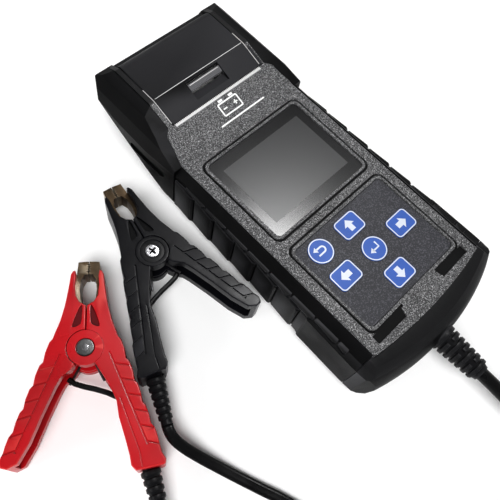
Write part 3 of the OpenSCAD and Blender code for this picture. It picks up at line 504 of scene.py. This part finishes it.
def gland_rib(i):
    """One rib, notched at two opposite places, a quarter turn on from the rib before."""
    radius = 7.3 - 0.22 * i
    rib = modified(prism("r", disc(radius), 0, RIB_W), rounded(0.35, 50, 2))
    notches = []
    for turn in (0, 180):
        notch = prism("n", [(4.6, -1.5), (9, -1.5), (9, 1.5), (4.6, 1.5)], -1, RIB_W + 1)
        notch.transform(Matrix.Rotation(math.radians(turn + 90 * (i % 2) + 20), 4, "Z"))
        notches.append(notch)
    rib = carve(rib, notches)
    rib.transform(Matrix.Translation((0, (RIB_W - FIRST_RIB_Y - RIB_PITCH * i) * MM, GLAND_Z * MM))
                  @ Matrix.Rotation(math.radians(90), 4, "X"))
    return rib


def add_gland():
    """Strain relief: a tapered core with notched ribs."""
    mesh = join_meshes("gland", [gland_core()] + [gland_rib(i) for i in range(GLAND_RIBS)])
    shade(mesh, 40)
    piece = new_object("cable_gland_ribbed", mesh, "tester", strain_mat)
    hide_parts("cable_gland")
    return piece


def lead_profile():
    """Flat twin lead: two round cores side by side with a shallow valley between."""
    profile = []
    for k in range(24):
        a = 2 * math.pi * k / 24
        x, y = math.cos(a), math.sin(a)
        valley = 1 - 0.16 * math.exp(-(x / 0.22) ** 2)
        profile.append((LEAD_W / 2 * MM * math.copysign(abs(x) ** 0.8, x),
                        LEAD_H / 2 * MM * math.copysign(abs(y) ** 0.75, y) * valley))
    return profile


def add_cords():
    gland = add_gland()
    path = smooth_path(metres(ROUTE_IN + coil_points(12) + ROUTE_OUT), 0.003)
    curve = bpy.data.curves.new("main_cable_run", "CURVE")
    curve.dimensions = "3D"
    curve.bevel_depth = CABLE_D / 2 * MM
    curve.bevel_resolution = 5
    curve.use_fill_caps = True
    spline = curve.splines.new("POLY")
    spline.points.add(len(path) - 1)
    for point, p in zip(spline.points, path):
        point.co = (*p, 1)
    spline.use_smooth = True
    cable = new_object("main_cable_run", curve, "tester", cable_mat)
    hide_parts("main_cable", "cable_coil", "cable_tail")
    for name, route in (("black", ROUTE_BLACK), ("red", ROUTE_RED)):
        path = smooth_path(metres(route), 0.002)
        lead = tube(f"lead_{name}_run", path, lead_profile(), "tester", cable_mat)
        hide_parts(f"lead_{name}")


add_cords()


# ---------------------------------------------------------------- clamps

BLACK_PIVOT, BLACK_BEARING = (-77.5, 19.5), 12.0
RED_PIVOT, RED_BEARING = (-131, 3), 39.5
CLAMP_T = 22
HUB_R = 8.2
# outer edge of an arm from the jaw tip to the foot, with the finger scallops
ARM_EDGE = [(5.6, 38), (6.8, 37.4), (7.7, 35.6), (8.2, 31), (9.2, 24), (10, 19.4), (11.6, 13), (13.2, 8.6),
            (14.6, 4.6), (15.9, 3.2), (17.4, -1.2), (18.2, -5.8), (19.6, -7.2), (21.2, -11.6), (21.8, -15.8),
            (23.2, -17.4), (24.6, -21.6), (25.2, -25.6), (26.6, -27.2), (28, -31.2), (28.8, -35), (30.4, -37),
            (31.6, -40.6), (32.2, -43.4)]
GAP_EDGE = [(0.2, 0), (0.2, 10), (0.2, 20.2), (3.2, 22), (5, 25), (5.5, 30), (5.2, 35)]
FREE_FOOT = [(33.6, -46.2), (33, -49), (30.2, -49.8), (26.2, -48), (21.8, -40), (17, -27.6), (12.4, -17),
             (10.3, -13), (6, -9.6)]
CABLE_FOOT = [(33.2, -47.4), (35, -50.2), (34.6, -52.4), (22.4, -54.2), (20.2, -52), (19.6, -48),
              (17.6, -40.4), (15, -31.6), (14, -24.6), (10.6, -17), (6, -9.6)]
# the clamp's own frame: pivot at the origin, jaws towards +Y, underside at z = 0
LOW, HIGH = 0.6, CLAMP_T - 0.6
MIDDLE = CLAMP_T / 2
CHANNEL = 5.2  # half the depth of the channels inside an arm
INNER = 3.6  # half the depth of the space for the spring
CHEEK = 5.4  # thickness of each of the cable arm's cheeks at the hub
RECESS, BAND, PARTING = 1.5, 0.75, 0.5  # depths sunk into an arm's faces
GRIP_PADS = 6
JAW_CHANNEL = [(-1, 44.5), (5.1, 44.1), (5.6, 38.2), (5.4, 36), (6, 30), (5.5, 25), (5, 21), (5, 13.5),
               (-1, 13.5)]
FREE_POCKET = [(5, -12.6), (10.4, -15.4), (15, -28), (19.8, -40.4), (23.6, -50), (27, -50), (29.8, -45.6),
               (26.2, -34.4), (22, -23), (17, -9), (14.6, -4.6), (10.6, -6.4)]
CABLE_POCKET = [(5, -12.6), (9, -18), (12, -25.4), (15, -29), (17.4, -38), (19.4, -44), (28.2, -44),
                (25.4, -34.4), (21.8, -24), (17, -9), (14.6, -4.6), (10.6, -6.4)]
FREE_SPRING_SPACE = [(1, 0), (-12, -3), (-12, -18), (11, -18), (12.4, -10.4), (8.6, -6.6)]
CABLE_SPRING_SPACE = [(1, 0), (4, -18), (11, -18), (11, -9.6), (8, -6)]
PARTING_LINE = [(13.2, -24), (16.6, -33.6), (21.5, -47), (22.6, -53.4)]


def clamp_matrix(colour):
    """Places a clamp on the table. The red one is the same clamp turned over."""
    if colour == "black":
        pivot, bearing, flip = BLACK_PIVOT, BLACK_BEARING, Matrix.Identity(4)
    else:
        pivot, bearing = RED_PIVOT, RED_BEARING
        flip = Matrix.Translation((0, 0, CLAMP_T * MM)) @ Matrix.Rotation(math.pi, 4, "Y")
    place = Matrix.Translation((pivot[0] * MM, pivot[1] * MM, 0))
    return place @ Matrix.Rotation(math.radians(-bearing), 4, "Z") @ flip


def band_points(t, across):
    """A point on the grip band: t from 0 at the top to 1 at the foot, across from 0 inside to 1 outside."""
    a, b = Vector((13.2, -1.5)), Vector((29.2, -43))
    outward = Vector((0.93, 0.36))
    width = 5.6 - 1.2 * t
    return a + (b - a) * t + outward * (across - 0.5) * width


def recess_outline():
    """Three-cornered recess beside the seam."""
    return spline_outline([(1.9, 20.2), (3.7, 17.8), (6.1, 11.0), (5.6, 9.7), (3.4, 10.4), (2.1, 12.4)], 0.7)


def on_faces(outline, depth):
    """Cutters that sink an outline into an arm's upper and lower face."""
    return [prism("c", outline, HIGH - depth, HIGH + 1), prism("c", outline, LOW - 1, LOW + depth)]


def grip_band():
    """Sunk band with slanted pads left standing in it."""
    cutters = []
    along = Vector((0.32, -0.85))
    for i in range(1, GRIP_PADS + 1):
        t = i / GRIP_PADS
        left, right = band_points(t - 0.045, 0.02), band_points(t + 0.035, 1.1)
        cutters += on_faces([left, left + along, right + along, right], BAND)
    inner = [band_points(k / 8, -0.06) for k in range(9)]
    outer = [p + Vector((0.8, 0.3)) for p in inner]
    return cutters + on_faces(inner + outer[::-1], BAND)


def cable_seat():
    """The line along the cable channel, and the socket that the boot sits in."""
    near = [(x + 2.1, y + 0.7) for x, y in PARTING_LINE]
    far = [(x + 2.6, y + 0.9) for x, y in PARTING_LINE]
    socket = prism("c", disc(3.7, 32), 0, 12)
    socket.transform(Matrix.Translation((27.6 * MM, -56 * MM, MIDDLE * MM))
                     @ Matrix.Rotation(math.radians(14), 4, "Z") @ Matrix.Rotation(math.radians(-90), 4, "X"))
    return on_faces(near + far[::-1], PARTING) + [socket]


def arm_mesh(kind):
    """The moulded arm on the +X side, free or with the cable in it."""
    free = kind == "free"
    outline = GAP_EDGE + ARM_EDGE + (FREE_FOOT if free else CABLE_FOOT)
    body = modified(prism("arm", outline, LOW, HIGH), rounded(0.8, 62, 3))
    cutters = [prism("c", JAW_CHANNEL, MIDDLE - CHANNEL, MIDDLE + CHANNEL),
               prism("c", FREE_POCKET if free else CABLE_POCKET, MIDDLE - CHANNEL, MIDDLE + CHANNEL)]
    if free:
        room = HUB_R + 0.35
        cutters += [prism("c", disc(room), -1, CHEEK + 0.4),
                    prism("c", disc(room), CLAMP_T - CHEEK - 0.4, CLAMP_T + 1)]
    else:
        cutters.append(prism("c", disc(HUB_R + 0.1), CHEEK, CLAMP_T - CHEEK))
    cutters += on_faces(recess_outline(), RECESS) + grip_band()
    if not free:
        cutters += cable_seat()
    mesh = carve(body, cutters)
    # the free arm's hub disc, or the cable arm's raised rings round the pivot
    if free:
        hub = [prism("u", disc(HUB_R - 0.4), CHEEK + 0.4, CLAMP_T - CHEEK - 0.4)]
    else:
        hub = [modified(prism("u", disc(HUB_R, 64), z0, z1), rounded(0.5, 60, 3))
               for z0, z1 in ((LOW - 0.3, CHEEK), (CLAMP_T - CHEEK, HIGH + 0.3))]
    mesh = unite(mesh, hub)
    holes = [prism("c", disc(2.8, 32), -1, CLAMP_T + 2)]
    if free:
        holes.append(prism("c", disc(5.4), MIDDLE - INNER, MIDDLE + INNER))
    else:
        holes += [prism("c", disc(4.3), -1, 1.6), prism("c", disc(6.1), CLAMP_T - 1.2, CLAMP_T + 2)]
    space = FREE_SPRING_SPACE if free else CABLE_SPRING_SPACE
    holes.append(prism("c", space, MIDDLE - INNER, MIDDLE + INNER))
    mesh = carve(mesh, holes)
    # triangles first: the large faces have holes in them, which the bevel would tangle
    return shade(modified(mesh, ("TRIANGULATE", {"min_vertices": 5}), rounded(0.18, 52, 2)))


def placed(mesh, place):
    """A copy of a mesh moved by a matrix, with its faces turned back where the matrix mirrors them."""
    mesh = mesh.copy()
    mesh.transform(place)
    if place.determinant() < 0:
        mesh.flip_normals()
    return mesh


def add_clamps():
    arms = {kind: arm_mesh(kind) for kind in ("free", "cable")}
    # plates just inside each recess, darker than the arm: painted shade in the recess
    shade_floors = join_meshes("shade_floors", [prism("f", recess_outline(), HIGH - RECESS - 0.05, HIGH - RECESS + 0.15),
                                    prism("f", recess_outline(), LOW + RECESS - 0.15, LOW + RECESS + 0.05)])
    mirror = Matrix.Scale(-1, 4, (1, 0, 0))
    for colour, plastic, shade_look in (("black", black_mat, shade_black_mat), ("red", red_mat, red_shade_mat)):
        for kind, side, body in (("free", Matrix.Identity(4), colour + "_handle"),
                                 ("cable", mirror, "tester")):
            place = clamp_matrix(colour) @ side
            piece = new_object(f"{colour}_{kind}_arm_shell", placed(arms[kind], place), body, plastic)
            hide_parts(f"{colour}_{kind}_arm")
            # keeps the large flat faces looking flat beside their rounded edges
            flat = piece.modifiers.new("flat_faces", "WEIGHTED_NORMAL")
            flat.keep_sharp = True
            flat.weight = 80
            new_object(f"{colour}_{kind}_recess_painted_shade", placed(shade_floors, place), body, shade_look)


add_clamps()


def bolt_parts():
    """Meshes of the washer, the bolt, black plates painted as shade at the bottom of its cross recess, and
    the rivet underneath.
    """
    top = CLAMP_T - 0.12
    washer = carve(modified(prism("w", disc(6.0, 64), CLAMP_T - 1.2, CLAMP_T - 0.5), rounded(0.25, 50, 2)),
                   [prism("c", disc(4.3), CLAMP_T - 0.75, CLAMP_T + 1)])
    head = modified(prism("b", disc(3.5), CLAMP_T - 0.9, top), rounded(0.55, 50, 4))
    cross, shade_floors = [], []
    for turn in (20, 110):
        bar = prism("c", rounded_rect(4.6, 1.1, 0.3), CLAMP_T - 0.6, CLAMP_T + 1)
        # black plate at the bottom of the cross recess: painted shade
        floor = prism("c", rounded_rect(4.5, 1.0, 0.3), CLAMP_T - 0.62, CLAMP_T - 0.5)
        for mesh in (bar, floor):
            mesh.transform(Matrix.Rotation(math.radians(turn), 4, "Z"))
        cross.append(bar)
        shade_floors.append(floor)
    shank = prism("b", disc(2.5, 32), 0.9, CLAMP_T - 0.95)
    rivet = modified(prism("b", disc(4.0), 0.3, 1.3), rounded(0.6, 50, 4))
    peen = modified(prism("b", disc(1.5, 32), 0.12, 1.0), rounded(0.25, 50, 3))
    bolt = join_meshes("bolt", [carve(head, cross), shank, peen])
    return washer, bolt, join_meshes("cross", shade_floors), rivet


def add_pivot_bolts():
    """Dark washer and a bright cross-recess bolt on top, with the peened rivet end underneath."""
    washer, bolt, cross, rivet = bolt_parts()
    for colour in ("black", "red"):
        place = clamp_matrix(colour)
        piece = new_object(f"{colour}_bolt_steel", shade(placed(bolt, place)), "tester", steel_mat)
        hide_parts(f"{colour}_pivot_bolt")
        # the cross's black plates are painted shade in the bolt's cross recess
        for name, part, slot, look in (("washer", washer, "strain", strain_mat),
                                       ("cross", cross, "steel", shade_black_mat),
                                       ("rivet", rivet, "steel", rivet_mat)):
            new_object(f"{colour}_bolt_{name}", shade(placed(part, place)), "tester", look)


add_pivot_bolts()

for node in ("jaw_fixed", "jaw_free", "boot"):
    for colour in ("black", "red"):
        dress(f"{colour}_{node}", 0.00022)


# ---------------------------------------------------------------- case details

FASCIA_Z = 38
DISPLAY_Y = 5
DISPLAY_W, DISPLAY_H = 70, 57
KEYPAD_Y = -56
KEYPAD_W, KEYPAD_H = 70.4, 57
KEY_Z = FASCIA_Z - 0.3
ARROW_W, ARROW_H, ARROW_R = 14.6, 11.4, 2.4
KEY_R = 6.6
KEYS = {"enter": (0, 0), "up": (0, 1), "down": (0, -1), "left": (-1, 0), "right": (1, 0), "back": (-1, 1)}
KEY_DX, KEY_DY, ENTER_Y = 21.4, 16.7, KEYPAD_Y + 0.3
CREASE_Y, SLOPE_Y, SLOPE_RISE = 40, 57, 5.8
FOLD_Y, HEAD_Z = 72, 49
COVER_HALF = 30.6
SCREEN_W, SCREEN_H, SCREEN_AT = 53.9, 38.1, (0, DISPLAY_Y)
GROOVE = 1.2  # width of the grooves round the display and the keypad
DECAL_X, DECAL_Y, DECAL_T = 2.0, 49.6, 0.06
SIDES = ((-1, "left"), (1, "right"))


def ring_mesh(outer, inner, z0, z1):
    """Flat ring between two outlines with the same number of points."""
    bm = bmesh.new()
    rows = [[bm.verts.new((x * MM, y * MM, z * MM)) for x, y in line]
            for line, z in ((outer, z1), (inner, z1), (inner, z0), (outer, z0))]
    n = len(outer)
    for a, b in zip(rows, rows[1:] + rows[:1]):
        for k in range(n):
            bm.faces.new((a[k], a[(k + 1) % n], b[(k + 1) % n], b[k]))
    bmesh.ops.recalc_face_normals(bm, faces=bm.faces)
    mesh = bpy.data.meshes.new("ring")
    bm.to_mesh(mesh)
    bm.free()
    return mesh


def stroke(points, width, z0, z1):
    """Closed solid of a line of constant width through points."""
    left, right = [], []
    pts = [Vector(p) for p in points]
    for i, p in enumerate(pts):
        ahead = (pts[min(i + 1, len(pts) - 1)] - pts[max(i - 1, 0)]).normalized()
        side = Vector((-ahead.y, ahead.x)) * width / 2
        left.append(tuple(p + side))
        right.append(tuple(p - side))
    return prism("s", left + right[::-1], z0, z1)


def key_icon(name, low, high):
    """Meshes of a key's sign: an enter arrow, a back arrow, or a plain arrow to the right."""
    if name == "enter":
        return [stroke([(2.6, 2.6), (2.6, -0.6), (-1.4, -0.6)], 0.9, low, high),
                prism("i", [(-3.4, -0.6), (-1.0, 1.1), (-1.0, -2.3)], low, high)]
    if name == "back":
        bend = [(1.2 + 1.6 * math.cos(a), 0.2 + 1.6 * math.sin(a)) for a in
                (math.pi / 2 - k * math.pi / 10 for k in range(11))]
        return [stroke([(-1.6, 1.8)] + bend + [(-2.6, -1.4)], 0.9, low, high),
                prism("i", [(-3.6, 1.8), (-1.4, 3.4), (-1.4, 0.2)], low, high)]
    arrow = [(3.5, 0), (0.1, 3.3), (0.1, 1.5), (-3.1, 1.5), (-3.1, -1.5), (0.1, -1.5), (0.1, -3.3)]
    return [prism("i", arrow, low, high)]


def add_keys():
    """Rounds the keys' edges and prints a line round each, with its sign."""
    low, high = KEY_Z - 0.02, KEY_Z + 0.06
    for name, (column, row) in KEYS.items():
        dress("key_" + name, 0.00025)
        icon = key_icon(name, low, high)
        if name in ("enter", "back"):
            ring = ring_mesh(disc(KEY_R - 0.15, 56), disc(KEY_R - 0.75, 56), low, high)
        else:
            ring = ring_mesh(rounded_rect(ARROW_W - 0.3, ARROW_H - 0.3, ARROW_R - 0.15),
                             rounded_rect(ARROW_W - 1.5, ARROW_H - 1.5, ARROW_R - 0.75), low, high)
            for mesh in icon:
                mesh.transform(Matrix.Rotation(math.atan2(row, column), 4, "Z"))
        print_mesh = join_meshes("key_print_" + name, [ring] + icon)
        print_mesh.transform(Matrix.Translation((column * KEY_DX * MM, (ENTER_Y + row * KEY_DY) * MM, 0)))
        new_object("key_print_" + name, print_mesh, f"key_{name}_body", pale_mat)


def add_display():
    dress("display_window", 0.0004)
    top = FASCIA_Z - 0.35
    screen = prism("screen", rounded_rect(SCREEN_W, SCREEN_H, 0.4, SCREEN_AT), top - 0.02, top + 0.05)
    new_object("display_screen", screen, "tester", screen_mat)


def add_grooves():
    """Plates painted black as shade at the bottoms of the grooves round the display and the keypad, and of
    the two long notches.
    """
    low, high = FASCIA_Z - 1.25, FASCIA_Z - 0.95
    parts = []
    for w, h, y in ((DISPLAY_W - 0.1, DISPLAY_H - 0.1, DISPLAY_Y),
                    (KEYPAD_W - 0.1, KEYPAD_H - 0.1, KEYPAD_Y)):
        parts.append(ring_mesh(rounded_rect(w, h, 4.45, (0, y)),
                               rounded_rect(w - 2 * GROOVE, h - 2 * GROOVE, 3.65, (0, y)), low, high))
    for side in (-1, 1):
        notch = [(side * 13.7, -84.2), (side * 35.1, -84.2), (side * 35.1, -88.5), (side * 15.1, -88.7)]
        parts.append(prism("n", notch, FASCIA_Z - 2.05, FASCIA_Z - 0.9))
    mesh = join_meshes("groove_painted_shade", parts)
    new_object("groove_painted_shade", mesh, "tester", shade_black_mat)


def add_decal():
    """Generic battery sign and a plain bar, printed on the slope in front of the printer."""
    parts = [ring_mesh(rounded_rect(13.6, 7.6, 1.0), rounded_rect(11.9, 5.9, 0.4), 0, DECAL_T)]
    bars = [(31, 0.9, 0.3, (3.5, -6.8)), (0.8, 2.6, 0.1, (3.6, 0))]
    for x in (-3.6, 3.6):
        bars += [(2.8, 1.3, 0.2, (x, 4.7)), (2.6, 0.8, 0.1, (x, 0))]
    for w, h, r, centre in bars:
        parts.append(prism("d", rounded_rect(w, h, r, centre), 0, DECAL_T))
    mesh = join_meshes("decal", parts)
    slope = math.atan2(SLOPE_RISE, SLOPE_Y - CREASE_Y)
    at_z = FASCIA_Z + SLOPE_RISE * (DECAL_Y - CREASE_Y) / (SLOPE_Y - CREASE_Y)
    place = Matrix.Translation((DECAL_X * MM, DECAL_Y * MM, at_z * MM))
    mesh.transform(place @ Matrix.Rotation(slope, 4, "X"))
    new_object("battery_sign", mesh, "tester", white_mat)


def bead(name, points, radius, body, material):
    """Thin round bead along a short line, with round ends closed off."""
    curve = bpy.data.curves.new(name, "CURVE")
    curve.dimensions = "3D"
    curve.bevel_depth = radius * MM
    curve.bevel_resolution = 3
    curve.use_fill_caps = True
    spline = curve.splines.new("POLY")
    spline.points.add(len(points) - 1)
    for point, p in zip(spline.points, metres(points)):
        point.co = (*p, 1)
    return new_object(name, curve, body, material)


def add_lid_details():
    """Pale beads painted as highlights along the lid's fold edge and its frame's side edges, and the latch's
    ribs, the last rib pale as a painted highlight.
    """
    dress("printer_cover", 0.0003)
    dress("cover_latch", 0.00015)
    fold_z = HEAD_Z - 0.12
    bead("lid_fold_highlight", [(-COVER_HALF + 0.4, FOLD_Y, fold_z), (COVER_HALF - 0.4, FOLD_Y, fold_z)], 0.20,
         "cover", painted_highlight_mat)
    for i in range(3):
        y = 66.7 + 0.95 * i
        z = 46.35 + 0.36 * (y - 66)
        bead(f"latch_rib_{i}", [(-9.8, y, z), (9.8, y, z)], 0.22, "latch",
             painted_highlight_mat if i == 2 else latch_mat)
    for side, word in SIDES:
        x = side * (COVER_HALF + 0.55)
        points = [(x, SLOPE_Y + 1.2, 44.3), (x, FOLD_Y - 0.4, HEAD_Z - 0.45), (x, FOLD_Y + 8, HEAD_Z - 0.35)]
        bead(f"lid_side_highlight_{word}", points, 0.2, "tester", painted_highlight_mat)


def grip_block(side, outline, z0, z1, radius):
    """A rounded block of an outline drawn for the right side."""
    return modified(prism("p", [(side * x, y) for x, y in outline], z0, z1), rounded(radius, 30, 3))


def add_grip_pads():
    """Raised pads along both sides, each a little further out at its cable end, with a ledge above."""
    pads, pitch, first_y, inner_x = 8, 15.2, 38.5, 44.6
    for side, word in SIDES:
        blocks = []
        for i in range(pads):
            y0 = first_y - pitch * i
            y1 = y0 - pitch + 1.0
            x = 47.35 + 0.34 * i
            pad = [(inner_x, y0), (x - 1.1, y0), (x, y1 + 1.6), (x - 0.9, y1), (inner_x, y1)]
            blocks.append(grip_block(side, pad, 7.4, 30.6, 0.55))
            # ledge plate above the pad, set half a pitch back
            y0 -= pitch / 2
            y1 = y1 + 1 if i == pads - 1 else y1 - pitch / 2
            x = 46.9 + 0.3 * i
            plate = [(inner_x, y0), (x - 1.0, y0), (x, y1 + 1.4), (x - 0.8, y1), (inner_x, y1)]
            blocks.append(grip_block(side, plate, 30.9, 32.9, 0.45))
        mesh = shade(join_meshes(f"grip_pads_{word}", blocks))
        new_object(f"grip_pads_{word}", mesh, "tester", pad_mat)


add_keys()
add_display()
add_grooves()
add_decal()
add_lid_details()
add_grip_pads()
for node, width in (("front_housing", 0.0002), ("rear_housing", 0.0004), ("end_bumper", 0.0005),
                    ("bumper_left", 0.0006), ("bumper_right", 0.0006), ("keypad_membrane", 0.0001),
                    ("cable_splitter", 0.0008)):
    dress(node, width)


# ---------------------------------------------------------------- stage

# (radius, height) of the floor in metres: flat in the middle, rising round the rim like a studio backdrop
FLOOR_PROFILE = [(2.6, -0.00005), (3.1, 0.08), (3.5, 0.4), (3.7, 1.0), (3.8, 2.2)]


def floor_mesh():
    profile, count = FLOOR_PROFILE, 64
    points = [(0, 0, profile[0][1])]
    faces = [(0, 1 + k, 1 + (k + 1) % count) for k in range(count)]
    for row, (radius, z) in enumerate(profile):
        first = 1 + row * count
        for k in range(count):
            angle = 2 * math.pi * k / count
            points.append((radius * math.cos(angle), radius * math.sin(angle), z))
            if row < len(profile) - 1:
                after = (k + 1) % count
                faces.append((first + k, first + count + k, first + count + after, first + after))
    mesh = bpy.data.meshes.new("floor")
    mesh.from_pydata(points, [], faces)
    for face in mesh.polygons:
        face.use_smooth = True
    return mesh


def add_floor():
    mesh = floor_mesh()
    floor = bpy.data.objects.new("floor", mesh)
    bpy.context.scene.collection.objects.link(floor)
    mat = bpy.data.materials.new("floor")
    mat.use_nodes = True
    shader = mat.node_tree.nodes["Principled BSDF"]
    shader.inputs["Base Color"].default_value = (0.94, 0.94, 0.94, 1)
    shader.inputs["Roughness"].default_value = 0.9
    mesh.materials.append(mat)


def add_studio():
    """Pale surroundings and the picture's tone."""
    world = bpy.data.worlds.new("studio")
    bpy.context.scene.world = world
    world.use_nodes = True
    background = world.node_tree.nodes["Background"]
    background.inputs["Color"].default_value = (1, 1, 1, 1)
    background.inputs["Strength"].default_value = 0.12
    view = bpy.context.scene.view_settings
    view.view_transform = "Standard"
    view.gamma = 0.85
    view.exposure = 0.1


def add_light(name, location, target, size, power, size_y=None):
    """Soft rectangular light that points at a target."""
    data = bpy.data.lights.new(name, "AREA")
    data.shape = "RECTANGLE"
    data.size = size
    data.size_y = size_y or size
    data.energy = power
    light = bpy.data.objects.new(name, data)
    bpy.context.scene.collection.objects.link(light)
    light.location = location
    direction = Vector(target) - Vector(location)
    light.rotation_mode = "QUATERNION"
    light.rotation_quaternion = direction.to_track_quat("-Z", "Y")
    return light


def add_sun(direction, strength, angle):
    """Broad key light without a reflection of its own."""
    data = bpy.data.lights.new("key_sun", "SUN")
    data.energy = strength
    data.angle = math.radians(angle)
    light = bpy.data.objects.new("key_sun", data)
    bpy.context.scene.collection.objects.link(light)
    light.rotation_mode = "QUATERNION"
    light.rotation_quaternion = Vector(direction).to_track_quat("-Z", "Y")
    light.visible_glossy = False


add_floor()
add_studio()
add_sun((0.45, 0.35, -1.0), 3.1, 35)
glass_light = add_light("softbox_glass", (0.33, 0.10, 1.0), (0.0, 0, 0), 0.26, 7)
glass_light.visible_diffuse = False
add_light("softbox_left", (-0.9, 0.35, 0.5), (-0.05, 0, 0), 0.4, 1.5, 0.2)
